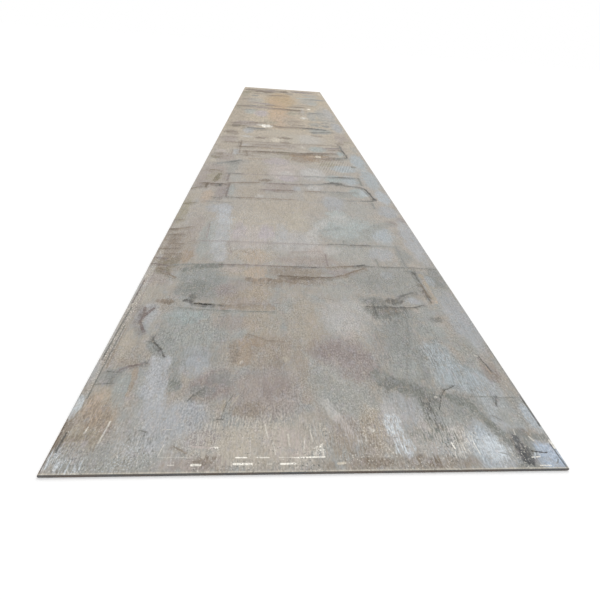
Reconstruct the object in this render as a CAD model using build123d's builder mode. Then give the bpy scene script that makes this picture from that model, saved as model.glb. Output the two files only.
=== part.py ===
"""One hot-rolled steel plate of stock size, lying flat.

The plate is a single solid. Its long edges are as the mill leaves them: the face drops away a
little over the last stretch and the edge itself bows outwards. Its two ends are sheared square,
so their upper arris is rolled over by the blade and their lower arris is sharp.

Units are millimetres. The origin is the middle of the underside, +Y runs along the plate's
length and +Z points up out of its top face.
"""

from build123d import *
import os

# Stock size, over everything
plate_length = 12000.0
plate_width = 2000.0
plate_thickness = 14.0

# As-rolled long edges
mill_edge_bow = 2.5
edge_drop_depth = 0.4
edge_drop_width = 22.0

# Sheared ends
rollover_radius = 1.2


with BuildPart() as plate:
    # Cross-section of the rolled plate, looking along its length
    edge_x = plate_width / 2
    arris_x = edge_x - mill_edge_bow
    shoulder_x = arris_x - edge_drop_width
    with BuildSketch(Plane.XZ):
        with BuildLine():
            underside = Line((-shoulder_x, 0), (shoulder_x, 0))
            lower_drop = Line(underside @ 1, (arris_x, edge_drop_depth))
            mill_edge = ThreePointArc(
                lower_drop @ 1,
                (edge_x, plate_thickness / 2),
                (arris_x, plate_thickness - edge_drop_depth),
            )
            upper_drop = Line(mill_edge @ 1, (shoulder_x, plate_thickness))
            Line(upper_drop @ 1, (-shoulder_x, plate_thickness))
            mirror(lower_drop, about=Plane.YZ)
            mirror(mill_edge, about=Plane.YZ)
            mirror(upper_drop, about=Plane.YZ)
        make_face()
    extrude(amount=plate_length / 2, both=True)

    # Long profile, looking across the width, which shears both ends
    with BuildSketch(Plane.YZ):
        Rectangle(plate_length, plate_thickness, align=(Align.CENTER, Align.MIN))
        fillet(vertices().group_by(Axis.Y)[-1], radius=rollover_radius)
    extrude(amount=plate_width, both=True, mode=Mode.INTERSECT)

plate.part.label = "plate"

os.makedirs("parts", exist_ok=True)
export_step(plate.part, "parts/plate.step")
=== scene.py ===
"""Dresses one hot-rolled steel plate: weathered mill scale, rolled edges and sheared ends.

Everything is in metres, in the plate's own frame: the origin is the middle of the underside, +Y runs
along the length and +Z points up out of the top face. The near end is the one at -Y.
"""

import logging
import math
from collections.abc import Iterable, Sequence
from dataclasses import dataclass, replace
from enum import Enum
from typing import ClassVar

import bmesh
import bpy
from mathutils import Matrix, Vector, noise


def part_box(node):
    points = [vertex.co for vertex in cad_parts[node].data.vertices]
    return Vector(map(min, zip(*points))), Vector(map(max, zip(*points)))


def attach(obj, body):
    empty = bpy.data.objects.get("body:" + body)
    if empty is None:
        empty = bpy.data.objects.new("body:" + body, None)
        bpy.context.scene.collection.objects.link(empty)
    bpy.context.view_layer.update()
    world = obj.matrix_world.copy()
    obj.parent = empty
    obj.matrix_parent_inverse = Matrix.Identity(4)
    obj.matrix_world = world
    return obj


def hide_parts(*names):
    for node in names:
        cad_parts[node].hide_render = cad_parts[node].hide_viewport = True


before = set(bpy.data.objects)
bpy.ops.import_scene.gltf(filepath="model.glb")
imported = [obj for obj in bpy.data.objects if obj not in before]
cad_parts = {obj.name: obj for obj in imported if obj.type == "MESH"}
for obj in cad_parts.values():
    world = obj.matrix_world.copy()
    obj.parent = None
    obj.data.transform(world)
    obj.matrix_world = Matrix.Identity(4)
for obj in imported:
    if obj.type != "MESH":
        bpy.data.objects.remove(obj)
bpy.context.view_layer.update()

Place = tuple[float, float]
Span = tuple[float, float]
Triple = tuple[float, float, float]
Socket = bpy.types.NodeSocket

log = logging.getLogger("steel_plate")


def linear(byte: float) -> float:
    """Turns one display value from 0 to 255 into the linear value that a shader takes."""
    share = byte / 255
    return share / 12.92 if share <= 0.04045 else ((share + 0.055) / 1.055) ** 2.4


class Tone(Enum):
    """The colours that the plate's scale, dirt and rust take, as they look in plain daylight."""

    NEAR_WARM = (165, 159, 151)
    NEAR_COOL = (158, 159, 156)
    MIDDLE_SCALE = (174, 168, 160)
    FAR_SCALE = (184, 173, 156)
    WHITE = (246, 242, 232)
    SCUFF = (212, 208, 199)
    CREAM = (206, 198, 183)
    PALE_SCALE = (189, 187, 183)
    MIST = (179, 177, 175)
    LILAC = (179, 180, 182)
    LAVENDER = (171, 173, 175)
    HAZE = (166, 169, 172)
    ASH = (166, 165, 160)
    PEWTER = (160, 163, 160)
    STONE = (155, 155, 150)
    IRON = (147, 149, 146)
    SLATE = (141, 142, 139)
    GREEN_GREY = (133, 135, 130)
    DARK_GREY = (120, 120, 116)
    SOOT = (97, 97, 94)
    BLACK = (62, 62, 60)
    BLUE_SCALE = (168, 176, 180)
    TEAL_SCALE = (163, 172, 171)
    SEA = (171, 179, 178)
    SKY = (175, 182, 187)
    PALE_BLUE = (184, 191, 196)
    ICE = (198, 204, 208)
    CLEAR_BLUE = (170, 182, 197)
    PINK_SCALE = (185, 176, 171)
    HEATHER = (176, 168, 172)
    DUSK = (162, 153, 147)
    MAUVE = (153, 145, 142)
    DEEP_MAUVE = (141, 132, 129)
    PLUM = (124, 115, 112)
    SAND = (182, 175, 162)
    BEIGE = (176, 168, 156)
    TAN = (170, 160, 146)
    EARTH = (158, 149, 139)
    CLAY = (180, 164, 148)
    OCHRE = (180, 160, 132)
    PEACH = (188, 165, 140)
    OLIVE = (160, 154, 139)
    RUST = (160, 146, 131)
    UMBER = (148, 139, 129)
    BURNT_SCALE = (147, 127, 105)
    BROWN = (134, 124, 113)
    DARK_BROWN = (114, 104, 93)
    MOSS = (122, 116, 98)
    FRACTURE = (108, 98, 89)
    DEEP_SCALE = (96, 97, 98)

    @property
    def rgba(self) -> tuple[float, float, float, float]:
        """The colour as a shader takes it."""
        red, green, blue = self.value
        return linear(red), linear(green), linear(blue), 1.0


class Edge(Enum):
    """How far in from its rim a patch takes to reach full strength, as a share of its half size."""

    SOFT = 0.95
    FIRM = 0.45


class Course(Enum):
    """How a mark's outline strays.

    Each value is the pitch of its waves across and along the plate, and then their reach, in metres.
    """

    CLOUDY = (0.040, 0.110, 0.030, 0.042)
    RUNNY = (0.030, 0.030, 0.007, 0.010)
    STRAIGHT = (0.100, 0.100, 0.0012, 0.0012)


class Wear(Enum):
    """How the grain of the scale breaks a mark up.

    Each value is where in the grain's noise a factor changes, and what it is before and after that.
    """

    EVEN = ((0.3, 0.7), (0.6, 1.6))
    RAGGED = ((0.32, 0.68), (0.3, 1.9))
    CRUMBLED = ((0.52, 0.66), (0.0, 1.5))
    STREAKED = ((0.47, 0.60), (0.0, 1.5))


@dataclass(frozen=True)
class Blot:
    """What every mark is made of: a spot that may be drawn out to a stroke with round ends.

    Attributes:
        at: Its middle, across and along the plate.
        core: Half the length that it is drawn out by.
        rim: How far it reaches from that core, along and across the stroke.
        turn: How far it is turned to the left, in degrees.
        tone: Its colour.
        strength: How much it hides what is below, from 0 to 1.
        edge: How it fades out.
    """

    at: Place
    core: float
    rim: Span
    turn: float
    tone: Tone
    strength: float
    edge: Edge

    def near(self, start: float, end: float) -> bool:
        """Whether any of it lies in a stretch of the plate.

        Args:
            start: Where the stretch starts along the plate.
            end: Where it ends.

        Returns:
            Whether it does.
        """
        angle = math.radians(self.turn)
        reach = math.hypot((self.core + self.rim[0]) * math.sin(angle), self.rim[1] * math.cos(angle))
        return start - reach < self.at[1] < end + reach


@dataclass(frozen=True)
class Mark:
    """Something that discolours the open face.

    Attributes:
        course: How its outline strays.
        wear: How it is broken up.
    """

    course: ClassVar[Course] = Course.CLOUDY
    wear: ClassVar[Wear] = Wear.RAGGED

    def blots(self) -> list[Blot]:
        """The blots that it is made of, in order."""
        raise NotImplementedError


@dataclass(frozen=True)
class Patch(Mark):
    """An oval of discoloured scale with a ragged rim.

    Attributes:
        at: Its middle, across and along the plate.
        half: Its half sizes across and along the plate, before it is turned.
        tone: Its colour.
        strength: How much it hides what is below, from 0 to 1.
        edge: How it fades out.
        turn: How far it is turned to the left, in degrees.
    """

    at: Place
    half: Span
    tone: Tone
    strength: float
    edge: Edge = Edge.SOFT
    turn: float = 0.0

    def blots(self) -> list[Blot]:
        """Itself, as one blot."""
        return [Blot(self.at, 0.0, self.half, self.turn, self.tone, self.strength, self.edge)]


@dataclass(frozen=True)
class Wash(Patch):
    """A broad even tint."""

    wear: ClassVar[Wear] = Wear.EVEN


@dataclass(frozen=True)
class Speckle(Patch):
    """A patch where only crumbs of scale stand out."""

    wear: ClassVar[Wear] = Wear.CRUMBLED


@dataclass(frozen=True)
class Drips(Patch):
    """A patch of short runs along the plate."""

    edge: Edge = Edge.FIRM

    wear: ClassVar[Wear] = Wear.STREAKED


@dataclass(frozen=True)
class Line(Mark):
    """A dark mark through two or more places with a soft shadow beside it, such as a water line.

    Attributes:
        through: The places it runs through.
        width: Its full width.
        tone: Its colour.
        strength: How much it hides what is below, from 0 to 1.
        edge: How its sides fade out.
        halo: How strong the shadow is, as a share of its strength.
        halo_spread: How wide the shadow is, in widths of the line.
        halo_shift: How far to the left it lies, in widths of the line. It isn't 0, because the renderer
            keeps the result of two blots at one place, and has room for only a few.
    """

    through: tuple[Place, ...]
    width: float
    tone: Tone
    strength: float
    edge: Edge = Edge.FIRM
    halo: float = 0.4

    course: ClassVar[Course] = Course.RUNNY
    halo_spread: ClassVar[float] = 3.6
    halo_shift: ClassVar[float] = -0.6

    def strokes(self, width: float, strength: float, edge: Edge, aside: float = 0.0) -> list[Blot]:
        """Covers the line with one stroke for each run.

        Args:
            width: The full width of the strokes.
            strength: Their strength.
            edge: How they fade out.
            aside: How far they lie to the left of the line.

        Returns:
            The strokes, in order.
        """
        found = []
        for (x0, y0), (x1, y1) in zip(self.through, self.through[1:]):
            turn = math.atan2(y1 - y0, x1 - x0)
            middle = ((x0 + x1) / 2 - aside * math.sin(turn), (y0 + y1) / 2 + aside * math.cos(turn))
            core = math.hypot(x1 - x0, y1 - y0) / 2
            rim = (width / 2, width / 2)
            found.append(Blot(middle, core, rim, math.degrees(turn), self.tone, strength, edge))
        return found

    def blots(self) -> list[Blot]:
        """The shadow, if there is one, and the line on top of it."""
        shadow = []
        if self.halo > 0.0:
            spread, faint = self.width * self.halo_spread, self.strength * self.halo
            shadow = self.strokes(spread, faint, Edge.SOFT, self.width * self.halo_shift)
        return shadow + self.strokes(self.width, self.strength, self.edge)


@dataclass(frozen=True)
class Band(Line):
    """A broad soft mark with cloudy sides, such as the track of a runnel."""

    edge: Edge = Edge.SOFT
    halo: float = 0.0

    course: ClassVar[Course] = Course.CLOUDY


@dataclass(frozen=True)
class Scuff(Line):
    """A straight thin mark, such as a scratch or a line that the rolls left."""

    halo: float = 0.0

    course: ClassVar[Course] = Course.STRAIGHT
    wear: ClassVar[Wear] = Wear.EVEN


# Discoloration of the first two thirds of a metre from the near end, its left part first
NEAR_PATCHES = (
    Wash((-0.90, -5.48), (0.08, 0.08), Tone.SLATE, 0.5),
    Wash((-0.86, -5.38), (0.07, 0.05), Tone.EARTH, 0.6),
    Wash((-0.90, -5.71), (0.09, 0.20), Tone.TAN, 0.9),
    Patch((-0.87, -5.75), (0.07, 0.12), Tone.RUST, 0.7),
    Patch((-0.92, -5.68), (0.06, 0.12), Tone.CLAY, 0.7),
    Patch((-0.90, -5.84), (0.09, 0.06), Tone.OLIVE, 0.7),
    Patch((-0.83, -5.56), (0.05, 0.12), Tone.PEWTER, 0.8),
    Band(((-0.805, -5.42), (-0.80, -5.60)), 0.035, Tone.RUST, 0.7),
    Patch((-0.985, -5.82), (0.03, 0.10), Tone.BROWN, 0.8),
    Wash((-0.78, -5.94), (0.24, 0.09), Tone.STONE, 0.8),
    Band(((-0.71, -5.38), (-0.70, -5.56), (-0.66, -5.72), (-0.63, -5.84)), 0.14, Tone.LAVENDER, 0.95),
    Band(((-0.72, -5.42), (-0.70, -5.60)), 0.07, Tone.LILAC, 0.6),
    Wash((-0.54, -5.73), (0.13, 0.13), Tone.HAZE, 0.9),
    Wash((-0.54, -5.40), (0.09, 0.10), Tone.HAZE, 0.7),
    Band(((-0.635, -5.36), (-0.615, -5.56)), 0.07, Tone.IRON, 0.85),
    Patch((-0.615, -5.53), (0.03, 0.05), Tone.GREEN_GREY, 0.8),
    Wash((-0.43, -5.51), (0.13, 0.12), Tone.MAUVE, 0.85),
    Patch((-0.47, -5.56), (0.12, 0.10), Tone.DEEP_MAUVE, 0.65),
    Patch((-0.49, -5.57), (0.07, 0.05), Tone.SLATE, 0.7),
    Patch((-0.40, -5.49), (0.09, 0.07), Tone.SLATE, 0.7),
    Wash((-0.18, -5.57), (0.22, 0.22), Tone.MAUVE, 0.6),
    Wash((-0.20, -5.62), (0.20, 0.18), Tone.DUSK, 0.6),
    Patch((-0.28, -5.69), (0.10, 0.07), Tone.UMBER, 0.75),
    Patch((-0.17, -5.55), (0.09, 0.09), Tone.DEEP_MAUVE, 0.5),
    Band(((-0.03, -5.36), (-0.02, -5.62)), 0.08, Tone.EARTH, 0.7),
    Patch((-0.39, -5.655), (0.03, 0.05), Tone.TAN, 0.8),
    Wash((-0.20, -5.87), (0.24, 0.13), Tone.BEIGE, 0.95),
    Patch((-0.12, -5.87), (0.13, 0.10), Tone.PINK_SCALE, 0.8),
    Patch((-0.29, -5.86), (0.07, 0.09), Tone.SAND, 0.6),
    Wash((-0.44, -5.84), (0.09, 0.06), Tone.MAUVE, 0.75),
    Wash((-0.46, -5.96), (0.17, 0.045), Tone.DUSK, 0.8),
    Patch((-0.42, -5.95), (0.06, 0.03), Tone.BROWN, 0.7),
    Patch((-0.68, -5.84), (0.09, 0.035), Tone.SLATE, 0.7),
    Wash((0.10, -5.50), (0.15, 0.16), Tone.STONE, 0.75),
    Band(((0.07, -5.40), (0.15, -5.50)), 0.05, Tone.ASH, 0.8),
    Wash((0.18, -5.63), (0.18, 0.12), Tone.STONE, 0.8),
    Patch((0.10, -5.60), (0.08, 0.06), Tone.IRON, 0.6),
    Wash((0.14, -5.80), (0.09, 0.10), Tone.DUSK, 0.7),
    Band(((0.055, -5.63), (0.095, -5.73), (0.17, -5.86)), 0.055, Tone.PALE_SCALE, 0.7),
    Band(((0.10, -5.74), (0.15, -5.82)), 0.05, Tone.PINK_SCALE, 0.6),
    Wash((0.25, -5.79), (0.075, 0.15), Tone.TAN, 0.8),
    Patch((0.22, -5.92), (0.07, 0.07), Tone.EARTH, 0.7),
    Wash((0.40, -5.69), (0.11, 0.13), Tone.LAVENDER, 0.85),
    Patch((0.345, -5.74), (0.06, 0.12), Tone.MIST, 0.9),
    Wash((0.24, -5.41), (0.14, 0.11), Tone.MAUVE, 0.7),
    Patch((0.22, -5.46), (0.08, 0.06), Tone.DEEP_MAUVE, 0.4),
    Wash((0.50, -5.42), (0.12, 0.12), Tone.PEWTER, 0.8),
    Band(((0.34, -5.46), (0.42, -5.53), (0.53, -5.575)), 0.12, Tone.GREEN_GREY, 0.75),
    Patch((0.38, -5.51), (0.08, 0.055), Tone.DARK_GREY, 0.6, turn=-35.0),
    Speckle((0.42, -5.53), (0.16, 0.08), Tone.SOOT, 0.6),
    Patch((0.49, -5.56), (0.07, 0.035), Tone.DARK_GREY, 0.6, turn=-25.0),
    Wash((0.73, -5.47), (0.16, 0.15), Tone.BLUE_SCALE, 0.85),
    Wash((0.84, -5.64), (0.10, 0.30), Tone.SKY, 0.6),
    Band(((0.58, -5.35), (0.57, -5.55)), 0.05, Tone.IRON, 0.7),
    Wash((0.69, -5.67), (0.11, 0.09), Tone.IRON, 0.9),
    Band(((0.53, -5.61), (0.54, -5.72), (0.545, -5.84)), 0.12, Tone.GREEN_GREY, 0.95),
    Band(((0.52, -5.60), (0.53, -5.80)), 0.05, Tone.DARK_GREY, 0.8),
    Patch((0.545, -5.62), (0.06, 0.035), Tone.SOOT, 0.6),
    Patch((0.47, -5.825), (0.10, 0.04), Tone.GREEN_GREY, 0.8),
    Patch((0.60, -5.76), (0.06, 0.06), Tone.PEWTER, 0.7),
    Band(((0.65, -5.60), (0.725, -5.66), (0.765, -5.76), (0.80, -5.87)), 0.06, Tone.GREEN_GREY, 0.9),
    Wash((0.70, -5.88), (0.09, 0.16), Tone.SKY, 0.95),
    Patch((0.735, -5.90), (0.07, 0.08), Tone.ICE, 0.8),
    Wash((0.87, -5.72), (0.06, 0.08), Tone.STONE, 0.7),
    Patch((0.91, -5.63), (0.08, 0.04), Tone.IRON, 0.5),
    Wash((0.915, -5.43), (0.06, 0.09), Tone.DEEP_MAUVE, 0.6),
    Patch((0.915, -5.45), (0.04, 0.06), Tone.UMBER, 0.4),
    Wash((0.975, -5.73), (0.035, 0.11), Tone.SKY, 0.9),
    Wash((0.95, -5.93), (0.10, 0.09), Tone.CLEAR_BLUE, 0.9),
    Band(((0.83, -5.83), (0.99, -5.835)), 0.045, Tone.SLATE, 0.9),
    Patch((0.90, -5.81), (0.05, 0.03), Tone.BROWN, 0.7),
    Band(((0.86, -5.85), (0.845, -5.97)), 0.14, Tone.SLATE, 0.9),
    Band(((0.845, -5.87), (0.85, -5.955)), 0.075, Tone.DEEP_SCALE, 0.9),
    Wash((0.76, -5.97), (0.07, 0.03), Tone.HAZE, 0.8),
    Wash((0.48, -5.965), (0.20, 0.04), Tone.UMBER, 0.75),
    Wash((0.20, -5.965), (0.12, 0.04), Tone.UMBER, 0.7),
    Patch((0.24, -5.96), (0.07, 0.03), Tone.DARK_BROWN, 0.7),
    Patch((0.45, -5.96), (0.07, 0.03), Tone.DARK_BROWN, 0.6),
    Wash((0.06, -5.93), (0.05, 0.05), Tone.ASH, 0.8),
    Band(((0.335, -5.74), (0.36, -5.91)), 0.085, Tone.ICE, 1.0),
    Speckle((-0.80, -5.92), (0.25, 0.10), Tone.ICE, 0.6),
    Drips((-0.93, -5.93), (0.09, 0.09), Tone.ICE, 0.75),
    Drips((-0.66, -5.86), (0.08, 0.06), Tone.PALE_BLUE, 0.4),
    Speckle((-0.88, -5.90), (0.16, 0.10), Tone.PLUM, 0.6),
    Speckle((0.54, -5.895), (0.16, 0.06), Tone.ICE, 0.6),
    Drips((0.52, -5.86), (0.18, 0.10), Tone.SCUFF, 0.7),
    Speckle((0.28, -5.80), (0.14, 0.22), Tone.SCUFF, 0.6),
    Drips((0.72, -5.91), (0.10, 0.10), Tone.ICE, 0.45),
    Speckle((0.95, -5.92), (0.06, 0.10), Tone.ICE, 0.5),
    Speckle((-0.45, -5.86), (0.16, 0.10), Tone.SCUFF, 0.6),
    Speckle((0.10, -5.55), (0.25, 0.30), Tone.PALE_SCALE, 0.5),
    Drips((-0.18, -5.86), (0.34, 0.16), Tone.SCUFF, 0.85),
    Drips((-0.16, -5.88), (0.36, 0.18), Tone.BROWN, 0.45),
    Drips((0.30, -5.86), (0.30, 0.16), Tone.UMBER, 0.6),
    Drips((0.45, -5.80), (0.22, 0.20), Tone.MIST, 0.5),
    Drips((-0.62, -5.80), (0.20, 0.20), Tone.MIST, 0.5),
    Drips((0.60, -5.50), (0.35, 0.30), Tone.SLATE, 0.5),
    Drips((-0.90, -5.76), (0.10, 0.20), Tone.UMBER, 0.7),
)

# Dark lines of the first two thirds of a metre
NEAR_LINES = (
    Line(((-0.93, -5.445), (-0.885, -5.45)), 0.010, Tone.SOOT, 0.5),
    Line(((-0.88, -5.435), (-0.84, -5.405), (-0.775, -5.385)), 0.013, Tone.PLUM, 0.8),
    Patch((-0.775, -5.385), (0.025, 0.03), Tone.DARK_GREY, 0.7),
    Line(((-0.897, -5.46), (-0.893, -5.53)), 0.012, Tone.DARK_GREY, 0.4),
    Line(((-0.96, -5.53), (-0.88, -5.525)), 0.006, Tone.SOOT, 0.55, halo=0.2),
    Line(((-0.54, -5.63), (-0.505, -5.585), (-0.48, -5.555)), 0.012, Tone.DARK_GREY, 0.7),
    Line(((-0.345, -5.585), (-0.375, -5.66), (-0.385, -5.735)), 0.006, Tone.DARK_GREY, 0.6, halo=0.0),
    Line(((-0.405, -5.74), (-0.38, -5.74)), 0.007, Tone.SOOT, 0.6, halo=0.2),
    Line(((0.535, -5.64), (0.525, -5.70)), 0.007, Tone.SOOT, 0.7),
    Line(((0.69, -5.53), (0.63, -5.56), (0.60, -5.61), (0.57, -5.68)), 0.006, Tone.SOOT, 0.75),
    Line(((0.44, -5.597), (0.62, -5.596), (0.86, -5.60)), 0.006, Tone.GREEN_GREY, 0.75, halo=0.4),
    Line(((0.87, -5.60), (0.845, -5.655)), 0.009, Tone.SOOT, 0.7),
    Line(((0.875, -5.605), (0.96, -5.61)), 0.005, Tone.DARK_GREY, 0.5),
    Line(((0.905, -5.30), (0.925, -5.42)), 0.007, Tone.SOOT, 0.75),
    Line(((0.885, -5.915), (0.945, -5.923)), 0.006, Tone.BLACK, 0.8, halo=0.0),
    Line(((0.96, -5.975), (0.975, -5.96)), 0.008, Tone.SOOT, 0.6, halo=0.0),
    Line(((0.74, -5.92), (0.775, -5.93)), 0.006, Tone.DARK_GREY, 0.6, halo=0.0),
    Line(((0.80, -5.72), (0.83, -5.745)), 0.008, Tone.DARK_GREY, 0.6),
    Line(((-0.55, -5.88), (-0.50, -5.91)), 0.010, Tone.BROWN, 0.6),
    Line(((-0.70, -5.80), (-0.675, -5.805)), 0.010, Tone.DARK_GREY, 0.7),
)

# Bright scuffs of the near end, most of them where the next sheet's edge was dragged over it, and a
# painted highlight along the left rolled edge
NEAR_SCUFFS = (
    Scuff(((-0.60, -5.928), (-0.47, -5.930)), 0.003, Tone.SCUFF, 0.45),
    Scuff(((-0.31, -5.933), (-0.27, -5.933)), 0.007, Tone.WHITE, 0.9),
    Scuff(((-0.23, -5.933), (-0.185, -5.934)), 0.006, Tone.WHITE, 0.7),
    Scuff(((-0.145, -5.934), (-0.085, -5.935)), 0.005, Tone.SCUFF, 0.8),
    Scuff(((-0.085, -5.936), (0.00, -5.934), (0.03, -5.934)), 0.007, Tone.WHITE, 0.85),
    Speckle((0.01, -5.90), (0.035, 0.035), Tone.WHITE, 0.9),
    Scuff(((-0.555, -5.964), (-0.535, -5.964)), 0.006, Tone.SCUFF, 0.8),
    Scuff(((-0.47, -5.965), (-0.44, -5.965)), 0.012, Tone.WHITE, 0.8),
    Scuff(((-0.315, -5.962), (-0.25, -5.963)), 0.011, Tone.WHITE, 1.0),
    Scuff(((-0.14, -5.964), (-0.085, -5.963)), 0.009, Tone.WHITE, 0.95),
    Scuff(((-0.19, -5.964), (-0.175, -5.964)), 0.006, Tone.SCUFF, 0.6),
    Scuff(((0.08, -5.965), (0.105, -5.962)), 0.013, Tone.CREAM, 0.8),
    Scuff(((-0.41, -5.886), (-0.385, -5.886)), 0.010, Tone.WHITE, 0.9),
    Scuff(((-0.48, -5.880), (-0.40, -5.888)), 0.012, Tone.PINK_SCALE, 0.8),
    Scuff(((-0.825, -5.75), (-0.835, -5.86)), 0.008, Tone.SCUFF, 0.8),
    Scuff(((-0.90, -5.78), (-0.905, -5.81)), 0.008, Tone.SCUFF, 0.7),
    Scuff(((-0.59, -5.87), (-0.60, -5.925)), 0.005, Tone.SCUFF, 0.5),
    Scuff(((-0.205, -5.77), (-0.19, -5.84)), 0.006, Tone.SCUFF, 0.7),
    Scuff(((-0.17, -5.86), (-0.16, -5.92)), 0.006, Tone.SCUFF, 0.6),
    Scuff(((-0.26, -5.85), (-0.255, -5.93)), 0.005, Tone.SCUFF, 0.5),
    Scuff(((-0.02, -5.80), (-0.01, -5.86)), 0.006, Tone.SCUFF, 0.6),
    Scuff(((-0.11, -5.82), (-0.105, -5.89)), 0.010, Tone.SCUFF, 0.6),
    Scuff(((-0.04, -5.83), (-0.05, -5.90)), 0.006, Tone.SCUFF, 0.6),
    Scuff(((-0.61, -5.793), (-0.575, -5.794)), 0.004, Tone.SCUFF, 0.7),
    Scuff(((-0.325, -5.60), (-0.355, -5.66)), 0.010, Tone.SAND, 0.7, Edge.SOFT),
    Scuff(((0.87, -5.945), (0.905, -5.943)), 0.006, Tone.WHITE, 0.8),
    Scuff(((0.893, -5.925), (0.880, -5.95)), 0.007, Tone.ICE, 0.7),
    Scuff(((0.86, -5.80), (0.855, -5.83)), 0.006, Tone.SCUFF, 0.5),
    Scuff(((0.91, -5.84), (0.92, -5.86)), 0.010, Tone.SCUFF, 0.6),
    Scuff(((0.885, -5.29), (0.90, -5.30)), 0.010, Tone.SCUFF, 0.6),
    Scuff(((0.91, -5.385), (0.915, -5.44)), 0.008, Tone.CLAY, 0.6),
    Scuff(((0.21, -5.825), (0.205, -5.86)), 0.006, Tone.SCUFF, 0.6),
    Scuff(((0.56, -5.87), (0.565, -5.90)), 0.007, Tone.WHITE, 0.8),
    Scuff(((0.60, -5.86), (0.605, -5.92)), 0.006, Tone.SCUFF, 0.6),
    Scuff(((0.655, -5.87), (0.66, -5.93)), 0.006, Tone.WHITE, 0.5),
    Scuff(((0.885, -5.985), (0.93, -5.985)), 0.006, Tone.WHITE, 0.6),
    Scuff(((0.022, -5.875), (0.026, -5.928)), 0.011, Tone.SCUFF, 0.95, Edge.SOFT),
    Scuff(((0.002, -5.885), (-0.004, -5.925)), 0.010, Tone.SCUFF, 0.8, Edge.SOFT),
    Scuff(((0.0, -5.78), (0.004, -5.83)), 0.009, Tone.PALE_SCALE, 0.7, Edge.SOFT),
    Patch((0.24, -5.80), (0.018, 0.014), Tone.SCUFF, 0.8),
    Patch((0.575, -5.61), (0.014, 0.012), Tone.SCUFF, 0.7),
    Patch((-0.33, -5.37), (0.010, 0.010), Tone.SCUFF, 0.4),
    Patch((-0.11, -5.34), (0.03, 0.03), Tone.SAND, 0.6),
    # Painted highlight along the left rolled edge, where the face drops to it
    Wash((-0.985, -5.665), (0.018, 0.075), Tone.ICE, 0.65),
    Wash((-0.985, -5.45), (0.018, 0.12), Tone.MIST, 0.5),
)

# Lines that the rolls left beside the long edges, broken by wear. The pale line right at the left edge is
# a painted highlight where the face drops to the rolled edge.
ROLL_LINES = (
    # Painted highlight along the left rolled edge
    Scuff(((-0.992, -4.42), (-0.990, -5.40)), 0.014, Tone.PALE_SCALE, 0.5),
    Scuff(((-0.979, -4.58), (-0.981, -4.85)), 0.012, Tone.PLUM, 0.7),
    Scuff(((-0.972, -4.90), (-0.980, -5.14), (-0.983, -5.36)), 0.010, Tone.DARK_GREY, 0.8),
    Scuff(((-0.943, -4.45), (-0.946, -4.98)), 0.007, Tone.MAUVE, 0.7),
    Scuff(((-0.958, -5.08), (-0.960, -5.45), (-0.960, -5.62)), 0.008, Tone.DARK_GREY, 0.75),
    Scuff(((-0.944, -5.10), (-0.944, -5.42)), 0.008, Tone.UMBER, 0.7),
    Scuff(((-0.957, -4.50), (-0.957, -4.72)), 0.010, Tone.MIST, 0.6),
    Scuff(((-0.972, -5.81), (-0.974, -5.90)), 0.010, Tone.SOOT, 0.7),
    Scuff(((-0.995, -5.74), (-0.996, -6.0)), 0.010, Tone.DARK_BROWN, 0.8),
    Scuff(((-0.985, -3.60), (-0.985, -4.40)), 0.010, Tone.UMBER, 0.6),
    Scuff(((0.992, -5.20), (0.992, -5.60)), 0.008, Tone.SLATE, 0.7),
    Scuff(((0.990, -5.60), (0.992, -5.78)), 0.010, Tone.SOOT, 0.8),
    Scuff(((0.984, -5.88), (0.990, -6.0)), 0.008, Tone.SOOT, 0.7),
    Scuff(((0.992, -5.86), (0.993, -5.90)), 0.012, Tone.WHITE, 0.8),
)

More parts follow.
